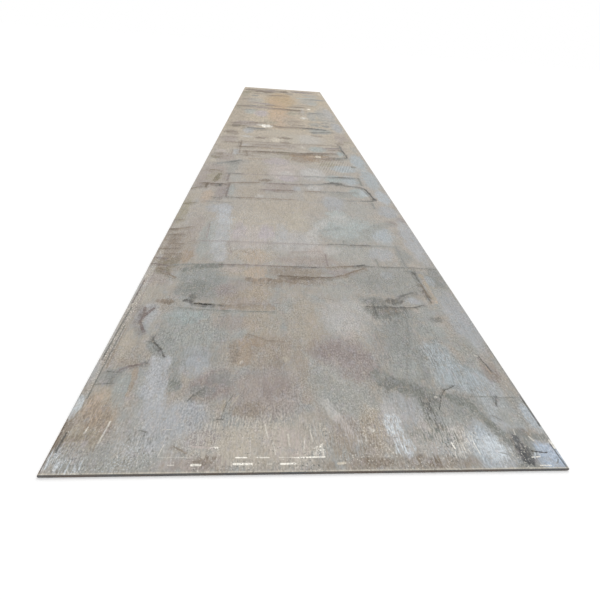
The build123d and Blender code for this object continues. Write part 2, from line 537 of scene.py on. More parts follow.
# Discoloration from two thirds of a metre to a metre and a third in
SECOND_PATCHES = (
    Wash((-0.96, -5.05), (0.05, 0.50), Tone.EARTH, 0.6),
    Wash((-0.905, -5.25), (0.05, 0.18), Tone.BEIGE, 0.75),
    Wash((-0.90, -4.72), (0.08, 0.15), Tone.BEIGE, 0.6),
    Wash((-0.87, -4.97), (0.08, 0.15), Tone.LAVENDER, 0.7),
    Wash((-0.62, -5.15), (0.18, 0.24), Tone.PEWTER, 0.8),
    Wash((-0.66, -4.98), (0.14, 0.09), Tone.TEAL_SCALE, 0.8),
    Patch((-0.74, -5.22), (0.08, 0.13), Tone.IRON, 0.8),
    Wash((-0.55, -5.33), (0.09, 0.11), Tone.HAZE, 0.7),
    Wash((-0.21, -5.27), (0.24, 0.19), Tone.EARTH, 0.9),
    Patch((-0.28, -5.20), (0.09, 0.06), Tone.RUST, 0.7),
    Patch((-0.32, -5.32), (0.06, 0.10), Tone.RUST, 0.6),
    Patch((-0.37, -5.29), (0.035, 0.13), Tone.UMBER, 0.7),
    Patch((-0.365, -5.355), (0.025, 0.03), Tone.UMBER, 0.5),
    Patch((-0.15, -5.36), (0.06, 0.07), Tone.UMBER, 0.6),
    Wash((-0.38, -5.03), (0.16, 0.10), Tone.DUSK, 0.7),
    Wash((0.17, -5.29), (0.19, 0.18), Tone.MAUVE, 0.95),
    Patch((0.09, -5.25), (0.15, 0.09), Tone.DEEP_MAUVE, 0.5),
    Patch((0.27, -5.36), (0.12, 0.10), Tone.DEEP_MAUVE, 0.6),
    Wash((0.24, -4.93), (0.18, 0.22), Tone.MIST, 0.45),
    Patch((0.22, -5.00), (0.14, 0.14), Tone.MIST, 0.4),
    Wash((0.22, -4.67), (0.15, 0.10), Tone.ASH, 0.7),
    Patch((0.22, -5.13), (0.07, 0.05), Tone.PINK_SCALE, 0.5),
    Wash((0.39, -5.24), (0.07, 0.14), Tone.DUSK, 0.5),
    Wash((0.52, -5.17), (0.14, 0.26), Tone.IRON, 0.75),
    Wash((0.69, -5.31), (0.10, 0.18), Tone.BLUE_SCALE, 0.85),
    Wash((0.72, -5.07), (0.12, 0.10), Tone.PEWTER, 0.8),
    Wash((0.93, -4.95), (0.10, 0.40), Tone.HAZE, 0.75),
    Wash((0.86, -5.22), (0.07, 0.14), Tone.STONE, 0.8),
    Wash((0.61, -4.93), (0.12, 0.07), Tone.IRON, 0.8),
    Wash((0.43, -4.76), (0.12, 0.06), Tone.IRON, 0.8),
    Wash((0.48, -4.88), (0.14, 0.09), Tone.GREEN_GREY, 0.85),
    Patch((0.52, -4.865), (0.16, 0.06), Tone.DARK_GREY, 0.85),
    Patch((0.53, -4.86), (0.08, 0.045), Tone.UMBER, 0.6),
    Speckle((0.36, -4.83), (0.18, 0.10), Tone.SCUFF, 0.7),
    Speckle((0.44, -4.80), (0.14, 0.09), Tone.SOOT, 0.6),
    Patch((0.42, -4.87), (0.08, 0.07), Tone.DARK_GREY, 0.6),
    Patch((0.45, -4.77), (0.09, 0.05), Tone.DARK_GREY, 0.6),
    Patch((0.575, -4.765), (0.06, 0.05), Tone.SOOT, 0.8),
    Wash((0.70, -4.75), (0.07, 0.05), Tone.LAVENDER, 0.9),
    Patch((0.785, -4.965), (0.06, 0.04), Tone.DARK_GREY, 0.7),
    Patch((0.83, -4.76), (0.04, 0.035), Tone.CLAY, 0.8),
    Patch((0.80, -5.385), (0.022, 0.03), Tone.GREEN_GREY, 0.7),
    Wash((-0.62, -4.69), (0.20, 0.14), Tone.SLATE, 0.9),
    Patch((-0.66, -4.65), (0.12, 0.08), Tone.GREEN_GREY, 0.7),
    Patch((-0.47, -4.68), (0.10, 0.09), Tone.MAUVE, 0.8),
    Wash((-0.28, -4.70), (0.13, 0.13), Tone.TAN, 0.5),
    Band(((-0.48, -4.865), (-0.20, -4.870)), 0.085, Tone.UMBER, 0.85),
    Patch((-0.80, -4.825), (0.07, 0.035), Tone.BROWN, 0.9),
    Patch((-0.67, -4.815), (0.035, 0.03), Tone.SOOT, 0.9),
    Patch((-0.66, -4.765), (0.03, 0.04), Tone.DARK_GREY, 0.85),
    Speckle((0.26, -4.95), (0.24, 0.30), Tone.PALE_SCALE, 0.8),
    Speckle((-0.97, -4.70), (0.03, 1.20), Tone.WHITE, 0.6),
    Drips((0.55, -5.15), (0.22, 0.35), Tone.SLATE, 0.7),
    Drips((-0.60, -5.15), (0.24, 0.30), Tone.SLATE, 0.5),
    Drips((0.52, -4.93), (0.14, 0.10), Tone.DARK_GREY, 0.3),
    Wash((-0.24, -5.02), (0.13, 0.20), Tone.TAN, 0.6),
    Wash((0.00, -5.00), (0.12, 0.34), Tone.TAN, 0.55),
)

# Dark lines from two thirds of a metre to a metre and a third in
SECOND_LINES = (
    Line(((-0.785, -5.17), (-0.785, -5.21), (-0.73, -5.275), (-0.70, -5.335)), 0.010, Tone.SOOT, 0.85),
    Line(((-0.90, -4.90), (-0.88, -4.98), (-0.89, -5.04), (-0.85, -5.13)), 0.020, Tone.PLUM, 0.85),
    Line(((-0.85, -4.905), (-0.875, -4.97)), 0.018, Tone.PLUM, 0.8),
    Line(((-0.63, -4.84), (-0.57, -4.848), (-0.53, -4.850)), 0.016, Tone.BLACK, 0.95),
    Line(((-0.53, -4.850), (-0.46, -4.855)), 0.009, Tone.SOOT, 0.85),
    Line(((-0.46, -4.86), (-0.36, -4.88)), 0.014, Tone.UMBER, 0.7),
    Line(((-0.72, -4.89), (-0.60, -4.90), (-0.45, -4.912), (-0.17, -4.912)), 0.010, Tone.GREEN_GREY, 0.75),
    Line(((-0.31, -5.135), (-0.20, -5.19), (-0.12, -5.20)), 0.008, Tone.BROWN, 0.6),
    Line(((-0.68, -5.08), (-0.62, -5.28), (-0.58, -5.45)), 0.010, Tone.IRON, 0.7, halo=0.0),
    Line(((-0.56, -5.12), (-0.51, -5.32)), 0.010, Tone.IRON, 0.6, halo=0.0),
    Line(((0.60, -5.00), (0.54, -5.22), (0.48, -5.45)), 0.016, Tone.SLATE, 0.7, halo=0.2),
    Line(((0.54, -4.97), (0.50, -5.12)), 0.014, Tone.SLATE, 0.7, halo=0.2),
    Line(((0.435, -4.80), (0.43, -4.95)), 0.010, Tone.SOOT, 0.35),
    Line(((0.51, -4.79), (0.505, -4.97)), 0.010, Tone.SOOT, 0.4),
    Line(((0.565, -4.84), (0.56, -4.94)), 0.010, Tone.SOOT, 0.3),
    Line(((0.39, -4.83), (0.56, -4.835), (0.69, -4.83), (0.75, -4.80)), 0.011, Tone.SOOT, 0.65),
    Line(((0.57, -4.785), (0.63, -4.70), (0.72, -4.65)), 0.020, Tone.DARK_GREY, 0.8),
    Line(((0.80, -4.62), (0.81, -4.77)), 0.010, Tone.SOOT, 0.6),
)

# Discoloration from a metre and a third to two metres and two thirds in
THIRD_PATCHES = (
    Wash((-0.88, -4.10), (0.17, 0.46), Tone.EARTH, 0.75),
    Wash((-0.96, -3.42), (0.06, 0.32), Tone.OLIVE, 0.8),
    Wash((-0.80, -3.66), (0.09, 0.28), Tone.DUSK, 0.5),
    Band(((-0.95, -3.86), (-0.91, -4.08), (-0.88, -4.25), (-0.87, -4.42)), 0.17, Tone.UMBER, 0.5),
    Patch((-0.93, -3.94), (0.07, 0.12), Tone.BROWN, 0.35),
    Patch((-0.88, -4.33), (0.09, 0.10), Tone.MOSS, 0.5),
    Patch((-0.90, -4.45), (0.08, 0.06), Tone.MOSS, 0.5),
    Wash((-0.78, -4.22), (0.055, 0.14), Tone.RUST, 0.75),
    Wash((-0.69, -3.90), (0.07, 0.46), Tone.PEWTER, 0.75),
    Wash((-0.27, -3.50), (0.38, 0.40), Tone.BEIGE, 0.9),
    Wash((-0.36, -3.86), (0.19, 0.30), Tone.PINK_SCALE, 0.65),
    Patch((-0.24, -3.76), (0.08, 0.22), Tone.HEATHER, 0.8),
    Patch((-0.46, -3.74), (0.07, 0.24), Tone.HEATHER, 0.6),
    Wash((-0.32, -4.18), (0.22, 0.14), Tone.TAN, 0.75),
    Patch((-0.31, -4.20), (0.11, 0.16), Tone.CLAY, 0.6),
    Wash((0.02, -3.50), (0.13, 0.34), Tone.SAND, 0.7),
    Wash((-0.01, -3.92), (0.24, 0.26), Tone.MIST, 0.75),
    Patch((-0.12, -3.74), (0.06, 0.22), Tone.LAVENDER, 0.6),
    Wash((0.16, -4.08), (0.14, 0.12), Tone.PINK_SCALE, 0.6),
    Wash((0.08, -4.24), (0.34, 0.09), Tone.DUSK, 0.75),
    Band(
        ((-0.61, -3.18), (-0.59, -3.55), (-0.575, -3.80), (-0.59, -4.00), (-0.56, -4.24)),
        0.14, Tone.LILAC, 0.7,
    ),
    Drips((-0.60, -3.68), (0.10, 0.50), Tone.PALE_BLUE, 0.6),
    Drips((-0.62, -3.90), (0.12, 0.40), Tone.PEWTER, 0.6),
    Wash((0.44, -3.60), (0.34, 0.34), Tone.SEA, 0.85),
    Band(((0.14, -3.74), (0.26, -3.46)), 0.11, Tone.PALE_SCALE, 0.8),
    Patch((0.40, -3.42), (0.12, 0.16), Tone.PALE_SCALE, 0.6),
    Patch((0.12, -3.85), (0.08, 0.16), Tone.PALE_SCALE, 0.6),
    Band(((0.20, -3.67), (0.38, -3.60)), 0.07, Tone.SLATE, 0.5),
    Wash((0.71, -3.72), (0.12, 0.24), Tone.SKY, 0.85),
    Wash((0.40, -4.10), (0.24, 0.20), Tone.ASH, 0.8),
    Patch((0.26, -4.05), (0.08, 0.10), Tone.PALE_SCALE, 0.5),
    Wash((0.63, -4.09), (0.12, 0.15), Tone.LAVENDER, 0.8),
    Wash((0.94, -3.80), (0.09, 0.56), Tone.LAVENDER, 0.85),
    Patch((0.84, -3.46), (0.07, 0.10), Tone.MAUVE, 0.75),
    Band(
        ((0.82, -3.46), (0.70, -3.54), (0.60, -3.65), (0.56, -3.79), (0.42, -3.88)),
        0.13, Tone.STONE, 0.7,
    ),
    Wash((0.80, -4.10), (0.07, 0.16), Tone.IRON, 0.75),
    Wash((-0.64, -4.53), (0.19, 0.20), Tone.IRON, 0.9),
    Band(((-0.76, -4.42), (-0.67, -4.375), (-0.54, -4.35)), 0.085, Tone.GREEN_GREY, 0.95),
    Band(((-0.66, -4.365), (-0.56, -4.35)), 0.05, Tone.DARK_GREY, 0.6),
    Wash((-0.37, -4.43), (0.19, 0.10), Tone.TAN, 0.7),
    Patch((-0.30, -4.43), (0.09, 0.12), Tone.CLAY, 0.5),
    Patch((-0.45, -4.40), (0.08, 0.06), Tone.PINK_SCALE, 0.5),
    Wash((-0.03, -4.42), (0.25, 0.10), Tone.UMBER, 0.85),
    Wash((-0.22, -4.58), (0.14, 0.07), Tone.UMBER, 0.85),
    Wash((0.00, -4.53), (0.22, 0.09), Tone.UMBER, 0.85),
    Band(((-0.34, -4.53), (-0.20, -4.54), (-0.04, -4.54)), 0.06, Tone.BROWN, 0.8),
    Band(((-0.08, -4.505), (0.05, -4.51)), 0.05, Tone.DARK_BROWN, 0.7),
    Wash((-0.36, -4.73), (0.24, 0.16), Tone.EARTH, 0.95),
    Wash((-0.50, -4.62), (0.22, 0.12), Tone.IRON, 0.7),
    Wash((-0.32, -4.82), (0.18, 0.06), Tone.DUSK, 0.6),
    Drips((-0.27, -4.52), (0.06, 0.32), Tone.CLAY, 0.45),
    Wash((-0.40, -4.62), (0.13, 0.09), Tone.DUSK, 0.6),
    Wash((0.62, -4.50), (0.42, 0.22), Tone.STONE, 0.7),
    Wash((0.28, -4.40), (0.13, 0.07), Tone.MAUVE, 0.7),
    Patch((0.50, -4.52), (0.09, 0.12), Tone.SLATE, 0.45),
    Patch((0.61, -4.42), (0.07, 0.08), Tone.HAZE, 0.6),
    Wash((0.94, -4.44), (0.08, 0.20), Tone.SLATE, 0.9),
    Patch((0.88, -4.48), (0.05, 0.09), Tone.SKY, 0.6),
    Wash((-0.92, -4.58), (0.11, 0.10), Tone.DUSK, 0.7),
    Drips((0.50, -3.70), (0.40, 0.45), Tone.PEWTER, 0.6),
    Drips((-0.35, -3.80), (0.36, 0.60), Tone.PALE_SCALE, 0.35),
    Drips((0.62, -4.50), (0.34, 0.24), Tone.SLATE, 0.6),
)

# Water lines from a metre and a third to two metres and two thirds in
THIRD_LINES = (
    Line(((-1.00, -3.765), (-0.94, -3.745), (-0.84, -3.70)), 0.026, Tone.BROWN, 0.65),
    Line(((-1.00, -3.755), (-0.95, -3.75)), 0.022, Tone.DARK_BROWN, 0.6),
    Line(((-1.00, -3.56), (-0.93, -3.55)), 0.020, Tone.BROWN, 0.7),
    Line(((-0.97, -3.86), (-0.86, -3.85)), 0.016, Tone.DARK_BROWN, 0.5),
    Line(((-0.99, -3.97), (-0.90, -3.95)), 0.015, Tone.BROWN, 0.5),
    Line(((-0.93, -4.03), (-0.84, -4.02)), 0.016, Tone.BROWN, 0.7),
    Line(((-1.00, -4.12), (-0.86, -4.10)), 0.014, Tone.DARK_BROWN, 0.5),
    Line(((-0.94, -4.20), (-0.82, -4.19)), 0.014, Tone.BROWN, 0.7),
    Line(((-1.00, -4.26), (-0.90, -4.27)), 0.018, Tone.PLUM, 0.8),
    Line(((-1.00, -4.35), (-0.88, -4.37)), 0.016, Tone.PLUM, 0.8),
    Line(((-0.84, -4.36), (-0.66, -4.34), (-0.54, -4.33)), 0.020, Tone.GREEN_GREY, 0.7),
    Line(((-0.54, -4.335), (-0.46, -4.335), (-0.37, -4.33)), 0.018, Tone.PLUM, 0.75, halo=0.3),
    Line(((-0.37, -4.33), (-0.10, -4.335), (0.20, -4.33)), 0.015, Tone.DEEP_MAUVE, 0.75, halo=0.3),
    Line(((-0.05, -4.335), (0.12, -4.335)), 0.012, Tone.SOOT, 0.7),
    Line(((-0.20, -4.335), (-0.02, -4.34)), 0.016, Tone.BROWN, 0.5),
    Line(((0.20, -4.33), (0.32, -4.31), (0.45, -4.29)), 0.018, Tone.BROWN, 0.85),
    Line(((0.40, -4.295), (0.46, -4.28)), 0.022, Tone.SOOT, 0.85),
    Line(((0.45, -4.29), (0.62, -4.30), (0.80, -4.295), (0.98, -4.31)), 0.015, Tone.DARK_GREY, 0.65),
    Line(((-0.14, -4.475), (0.08, -4.485), (0.20, -4.48)), 0.018, Tone.DARK_BROWN, 0.85),
    Line(((0.20, -4.48), (0.30, -4.44), (0.38, -4.38), (0.45, -4.335)), 0.018, Tone.BROWN, 0.95),
    Line(((-0.93, -4.41), (-0.86, -4.48), (-0.80, -4.54)), 0.018, Tone.BROWN, 0.8),
    Band(((0.84, -4.40), (0.845, -4.72)), 0.04, Tone.TAN, 0.8),
    Line(((0.800, -4.36), (0.806, -4.45), (0.808, -4.55)), 0.015, Tone.DARK_GREY, 0.95),
    Line(((0.808, -4.55), (0.812, -4.64), (0.820, -4.72)), 0.016, Tone.DARK_BROWN, 0.7),
    Line(((0.74, -4.35), (0.82, -4.345)), 0.020, Tone.GREEN_GREY, 0.8),
    Patch((0.803, -4.37), (0.022, 0.03), Tone.SOOT, 0.7),
    Line(((0.24, -3.94), (0.38, -3.93)), 0.018, Tone.DARK_GREY, 0.7),
    Line(((0.42, -3.94), (0.57, -3.935)), 0.020, Tone.SOOT, 0.65),
    Line(((0.57, -3.935), (0.80, -3.94)), 0.016, Tone.SLATE, 0.6),
    Line(((-0.78, -3.955), (-0.50, -3.945), (-0.20, -3.95), (0.24, -3.945)), 0.016, Tone.MAUVE, 0.55),
    Line(((0.365, -3.935), (0.37, -3.86)), 0.012, Tone.GREEN_GREY, 0.7),
    Line(((-0.05, -4.10), (0.17, -4.07)), 0.016, Tone.DUSK, 0.7),
    Line(((0.20, -4.13), (0.20, -4.30)), 0.014, Tone.DEEP_MAUVE, 0.7),
    Line(((-0.42, -4.10), (-0.35, -4.14)), 0.012, Tone.UMBER, 0.6),
    Line(((0.57, -4.18), (0.57, -4.30)), 0.012, Tone.GREEN_GREY, 0.6),
    Line(((-0.70, -3.62), (-0.69, -3.90)), 0.012, Tone.MAUVE, 0.6),
    Line(((-0.52, -3.95), (-0.48, -4.15)), 0.010, Tone.MAUVE, 0.6),
    Line(((0.775, -3.95), (0.77, -4.30)), 0.018, Tone.SLATE, 0.7),
)

# Discoloration from two metres and two thirds in to a little past the middle
MIDDLE_PATCHES = (
    Wash((-0.84, -2.20), (0.20, 0.62), Tone.DUSK, 0.8),
    Wash((-0.96, -3.18), (0.05, 0.26), Tone.OLIVE, 0.9),
    Wash((-0.93, -2.90), (0.06, 0.22), Tone.BEIGE, 0.7),
    Wash((-0.81, -2.93), (0.08, 0.24), Tone.CLAY, 0.7),
    Wash((-0.95, -2.50), (0.05, 0.24), Tone.DUSK, 0.7),
    Wash((-0.70, -2.78), (0.07, 0.32), Tone.MAUVE, 0.85),
    Wash((-0.66, -3.24), (0.14, 0.14), Tone.LAVENDER, 0.8),
    Wash((-0.61, -2.70), (0.05, 0.24), Tone.PEWTER, 0.8),
    Wash((-0.60, -2.28), (0.06, 0.16), Tone.ASH, 0.8),
    Wash((-0.66, -1.90), (0.08, 0.26), Tone.STONE, 0.8),
    Wash((-0.40, -2.02), (0.17, 0.50), Tone.TAN, 0.7),
    Wash((-0.40, -2.75), (0.18, 0.34), Tone.TAN, 0.55),
    Wash((-0.10, -3.12), (0.42, 0.26), Tone.BEIGE, 0.85),
    Wash((-0.12, -2.56), (0.22, 0.18), Tone.DUSK, 0.75),
    Wash((-0.10, -1.95), (0.19, 0.40), Tone.PINK_SCALE, 0.8),
    Patch((-0.03, -2.22), (0.14, 0.16), Tone.HEATHER, 0.7),
    Patch((-0.06, -2.04), (0.12, 0.14), Tone.PALE_SCALE, 0.6),
    Wash((0.24, -2.02), (0.18, 0.34), Tone.MIST, 0.9),
    Patch((0.27, -1.98), (0.17, 0.26), Tone.PALE_SCALE, 0.7),
    Wash((0.17, -2.82), (0.09, 0.20), Tone.BEIGE, 0.7),
    Wash((0.24, -2.52), (0.12, 0.12), Tone.MIST, 0.7),
    Patch((0.22, -2.55), (0.07, 0.09), Tone.PALE_SCALE, 0.6),
    Wash((0.05, -2.57), (0.06, 0.10), Tone.HAZE, 0.7),
    Wash((0.40, -2.98), (0.15, 0.28), Tone.HAZE, 0.75),
    Wash((0.38, -3.28), (0.12, 0.14), Tone.SEA, 0.7),
    Wash((0.50, -2.72), (0.16, 0.14), Tone.STONE, 0.8),
    Wash((0.48, -2.18), (0.14, 0.20), Tone.TEAL_SCALE, 0.8),
    Wash((0.66, -2.20), (0.12, 0.24), Tone.BLUE_SCALE, 0.85),
    Wash((0.69, -2.63), (0.12, 0.20), Tone.TEAL_SCALE, 0.8),
    Patch((0.74, -2.62), (0.07, 0.16), Tone.PALE_BLUE, 0.5),
    Wash((0.60, -3.12), (0.18, 0.26), Tone.ASH, 0.8),
    Wash((0.90, -2.10), (0.12, 0.50), Tone.BLUE_SCALE, 0.8),
    Wash((0.92, -2.74), (0.09, 0.28), Tone.SKY, 0.8),
    Wash((0.88, -3.16), (0.12, 0.20), Tone.HAZE, 0.8),
    Wash((0.96, -3.36), (0.07, 0.07), Tone.MAUVE, 0.7),
    Patch((-0.81, -2.28), (0.11, 0.24), Tone.OLIVE, 0.8),
    Band(((-0.77, -2.20), (-0.79, -2.32), (-0.80, -2.44)), 0.07, Tone.MOSS, 0.85),
    Patch((-0.32, -2.87), (0.05, 0.08), Tone.PALE_SCALE, 0.6),
    Patch((-0.27, -2.335), (0.09, 0.05), Tone.BROWN, 0.85),
    Patch((0.47, -2.34), (0.10, 0.08), Tone.DARK_GREY, 0.95),
    Wash((0.05, -1.74), (0.20, 0.14), Tone.PINK_SCALE, 0.6),
    Wash((-0.16, -1.52), (0.20, 0.22), Tone.HEATHER, 0.6),
    Wash((-0.45, -1.55), (0.16, 0.34), Tone.BEIGE, 0.6),
    Wash((-0.80, -1.42), (0.16, 0.26), Tone.DUSK, 0.85),
    Wash((-0.92, -1.60), (0.06, 0.12), Tone.SAND, 0.7),
    Patch((-0.89, -1.27), (0.09, 0.07), Tone.BROWN, 0.7),
    Patch((-0.90, -1.45), (0.10, 0.08), Tone.MOSS, 0.6),
    Patch((-0.88, -1.12), (0.08, 0.10), Tone.PINK_SCALE, 0.8),
    Wash((-0.68, -1.14), (0.06, 0.20), Tone.LAVENDER, 0.75),
    Wash((-0.85, -0.85), (0.14, 0.22), Tone.TAN, 0.6),
    Wash((-0.30, -0.90), (0.34, 0.16), Tone.BEIGE, 0.6),
    Wash((-0.10, -0.66), (0.60, 0.24), Tone.DUSK, 0.5),
    Wash((0.22, -1.30), (0.36, 0.26), Tone.RUST, 0.85),
    Wash((0.26, -1.16), (0.36, 0.13), Tone.BURNT_SCALE, 0.7),
    Patch((0.14, -1.36), (0.16, 0.20), Tone.UMBER, 0.5),
    Wash((-0.04, -1.28), (0.10, 0.13), Tone.OLIVE, 0.7),
    Patch((0.27, -1.30), (0.12, 0.16), Tone.BURNT_SCALE, 0.5),
    Wash((0.55, -1.26), (0.14, 0.13), Tone.UMBER, 0.9),
    Patch((0.57, -1.24), (0.09, 0.09), Tone.BROWN, 0.9),
    Wash((0.48, -1.55), (0.17, 0.15), Tone.OLIVE, 0.75),
    Patch((0.66, -1.24), (0.09, 0.10), Tone.SLATE, 0.7),
    Patch((0.34, -1.50), (0.06, 0.06), Tone.SAND, 0.8),
    Patch((0.30, -1.20), (0.11, 0.06), Tone.CLAY, 0.7),
    Wash((0.69, -0.98), (0.07, 0.18), Tone.SEA, 0.9),
    Wash((0.60, -0.88), (0.07, 0.08), Tone.PINK_SCALE, 0.6),
    Wash((0.88, -1.34), (0.12, 0.50), Tone.BLUE_SCALE, 0.9),
    Wash((0.66, -1.72), (0.20, 0.20), Tone.BLUE_SCALE, 0.8),
    Patch((0.79, -1.605), (0.05, 0.05), Tone.GREEN_GREY, 0.9),
    Wash((0.40, -0.76), (0.16, 0.20), Tone.TEAL_SCALE, 0.75),
    Wash((0.20, -0.72), (0.12, 0.12), Tone.SAND, 0.8),
    Patch((0.20, -0.70), (0.06, 0.08), Tone.SCUFF, 0.5),
    Wash((0.30, -0.14), (0.30, 0.42), Tone.PALE_SCALE, 0.55),
    Wash((0.08, -0.14), (0.13, 0.50), Tone.SAND, 0.75),
    Wash((-0.16, 0.26), (0.20, 0.30), Tone.SAND, 0.7),
    Wash((-0.60, 0.24), (0.10, 0.22), Tone.LAVENDER, 0.7),
    Wash((-0.16, -0.30), (0.10, 0.20), Tone.CREAM, 0.75),
    Wash((-0.60, -0.16), (0.11, 0.08), Tone.PALE_SCALE, 0.7),
    Wash((-0.60, -0.70), (0.08, 0.07), Tone.MIST, 0.6),
    Patch((-0.38, -0.19), (0.13, 0.09), Tone.UMBER, 0.9),
    Patch((-0.41, -0.20), (0.06, 0.06), Tone.BROWN, 0.8),
    Patch((-0.03, -0.145), (0.14, 0.10), Tone.BROWN, 0.85),
    Patch((-0.03, -0.46), (0.11, 0.10), Tone.BROWN, 0.7),
    Wash((-0.86, 0.12), (0.12, 0.20), Tone.UMBER, 0.65),
    Patch((-0.85, 0.12), (0.15, 0.10), Tone.BROWN, 0.8),
    Patch((-0.78, -0.02), (0.08, 0.12), Tone.UMBER, 0.8),
    Wash((-0.84, -0.38), (0.16, 0.30), Tone.DUSK, 0.8),
    Patch((0.48, 0.13), (0.12, 0.10), Tone.UMBER, 0.75),
    Patch((0.45, 0.36), (0.08, 0.10), Tone.SLATE, 0.8),
    Wash((0.76, -0.34), (0.08, 0.16), Tone.UMBER, 0.8),
    Wash((0.84, 0.06), (0.14, 0.44), Tone.DUSK, 0.75),
    Patch((0.90, -0.22), (0.08, 0.12), Tone.OLIVE, 0.7),
    Wash((0.93, -0.66), (0.06, 0.24), Tone.ASH, 0.7),
    Patch((0.375, -1.18), (0.045, 0.06), Tone.CREAM, 0.95, Edge.FIRM),
)

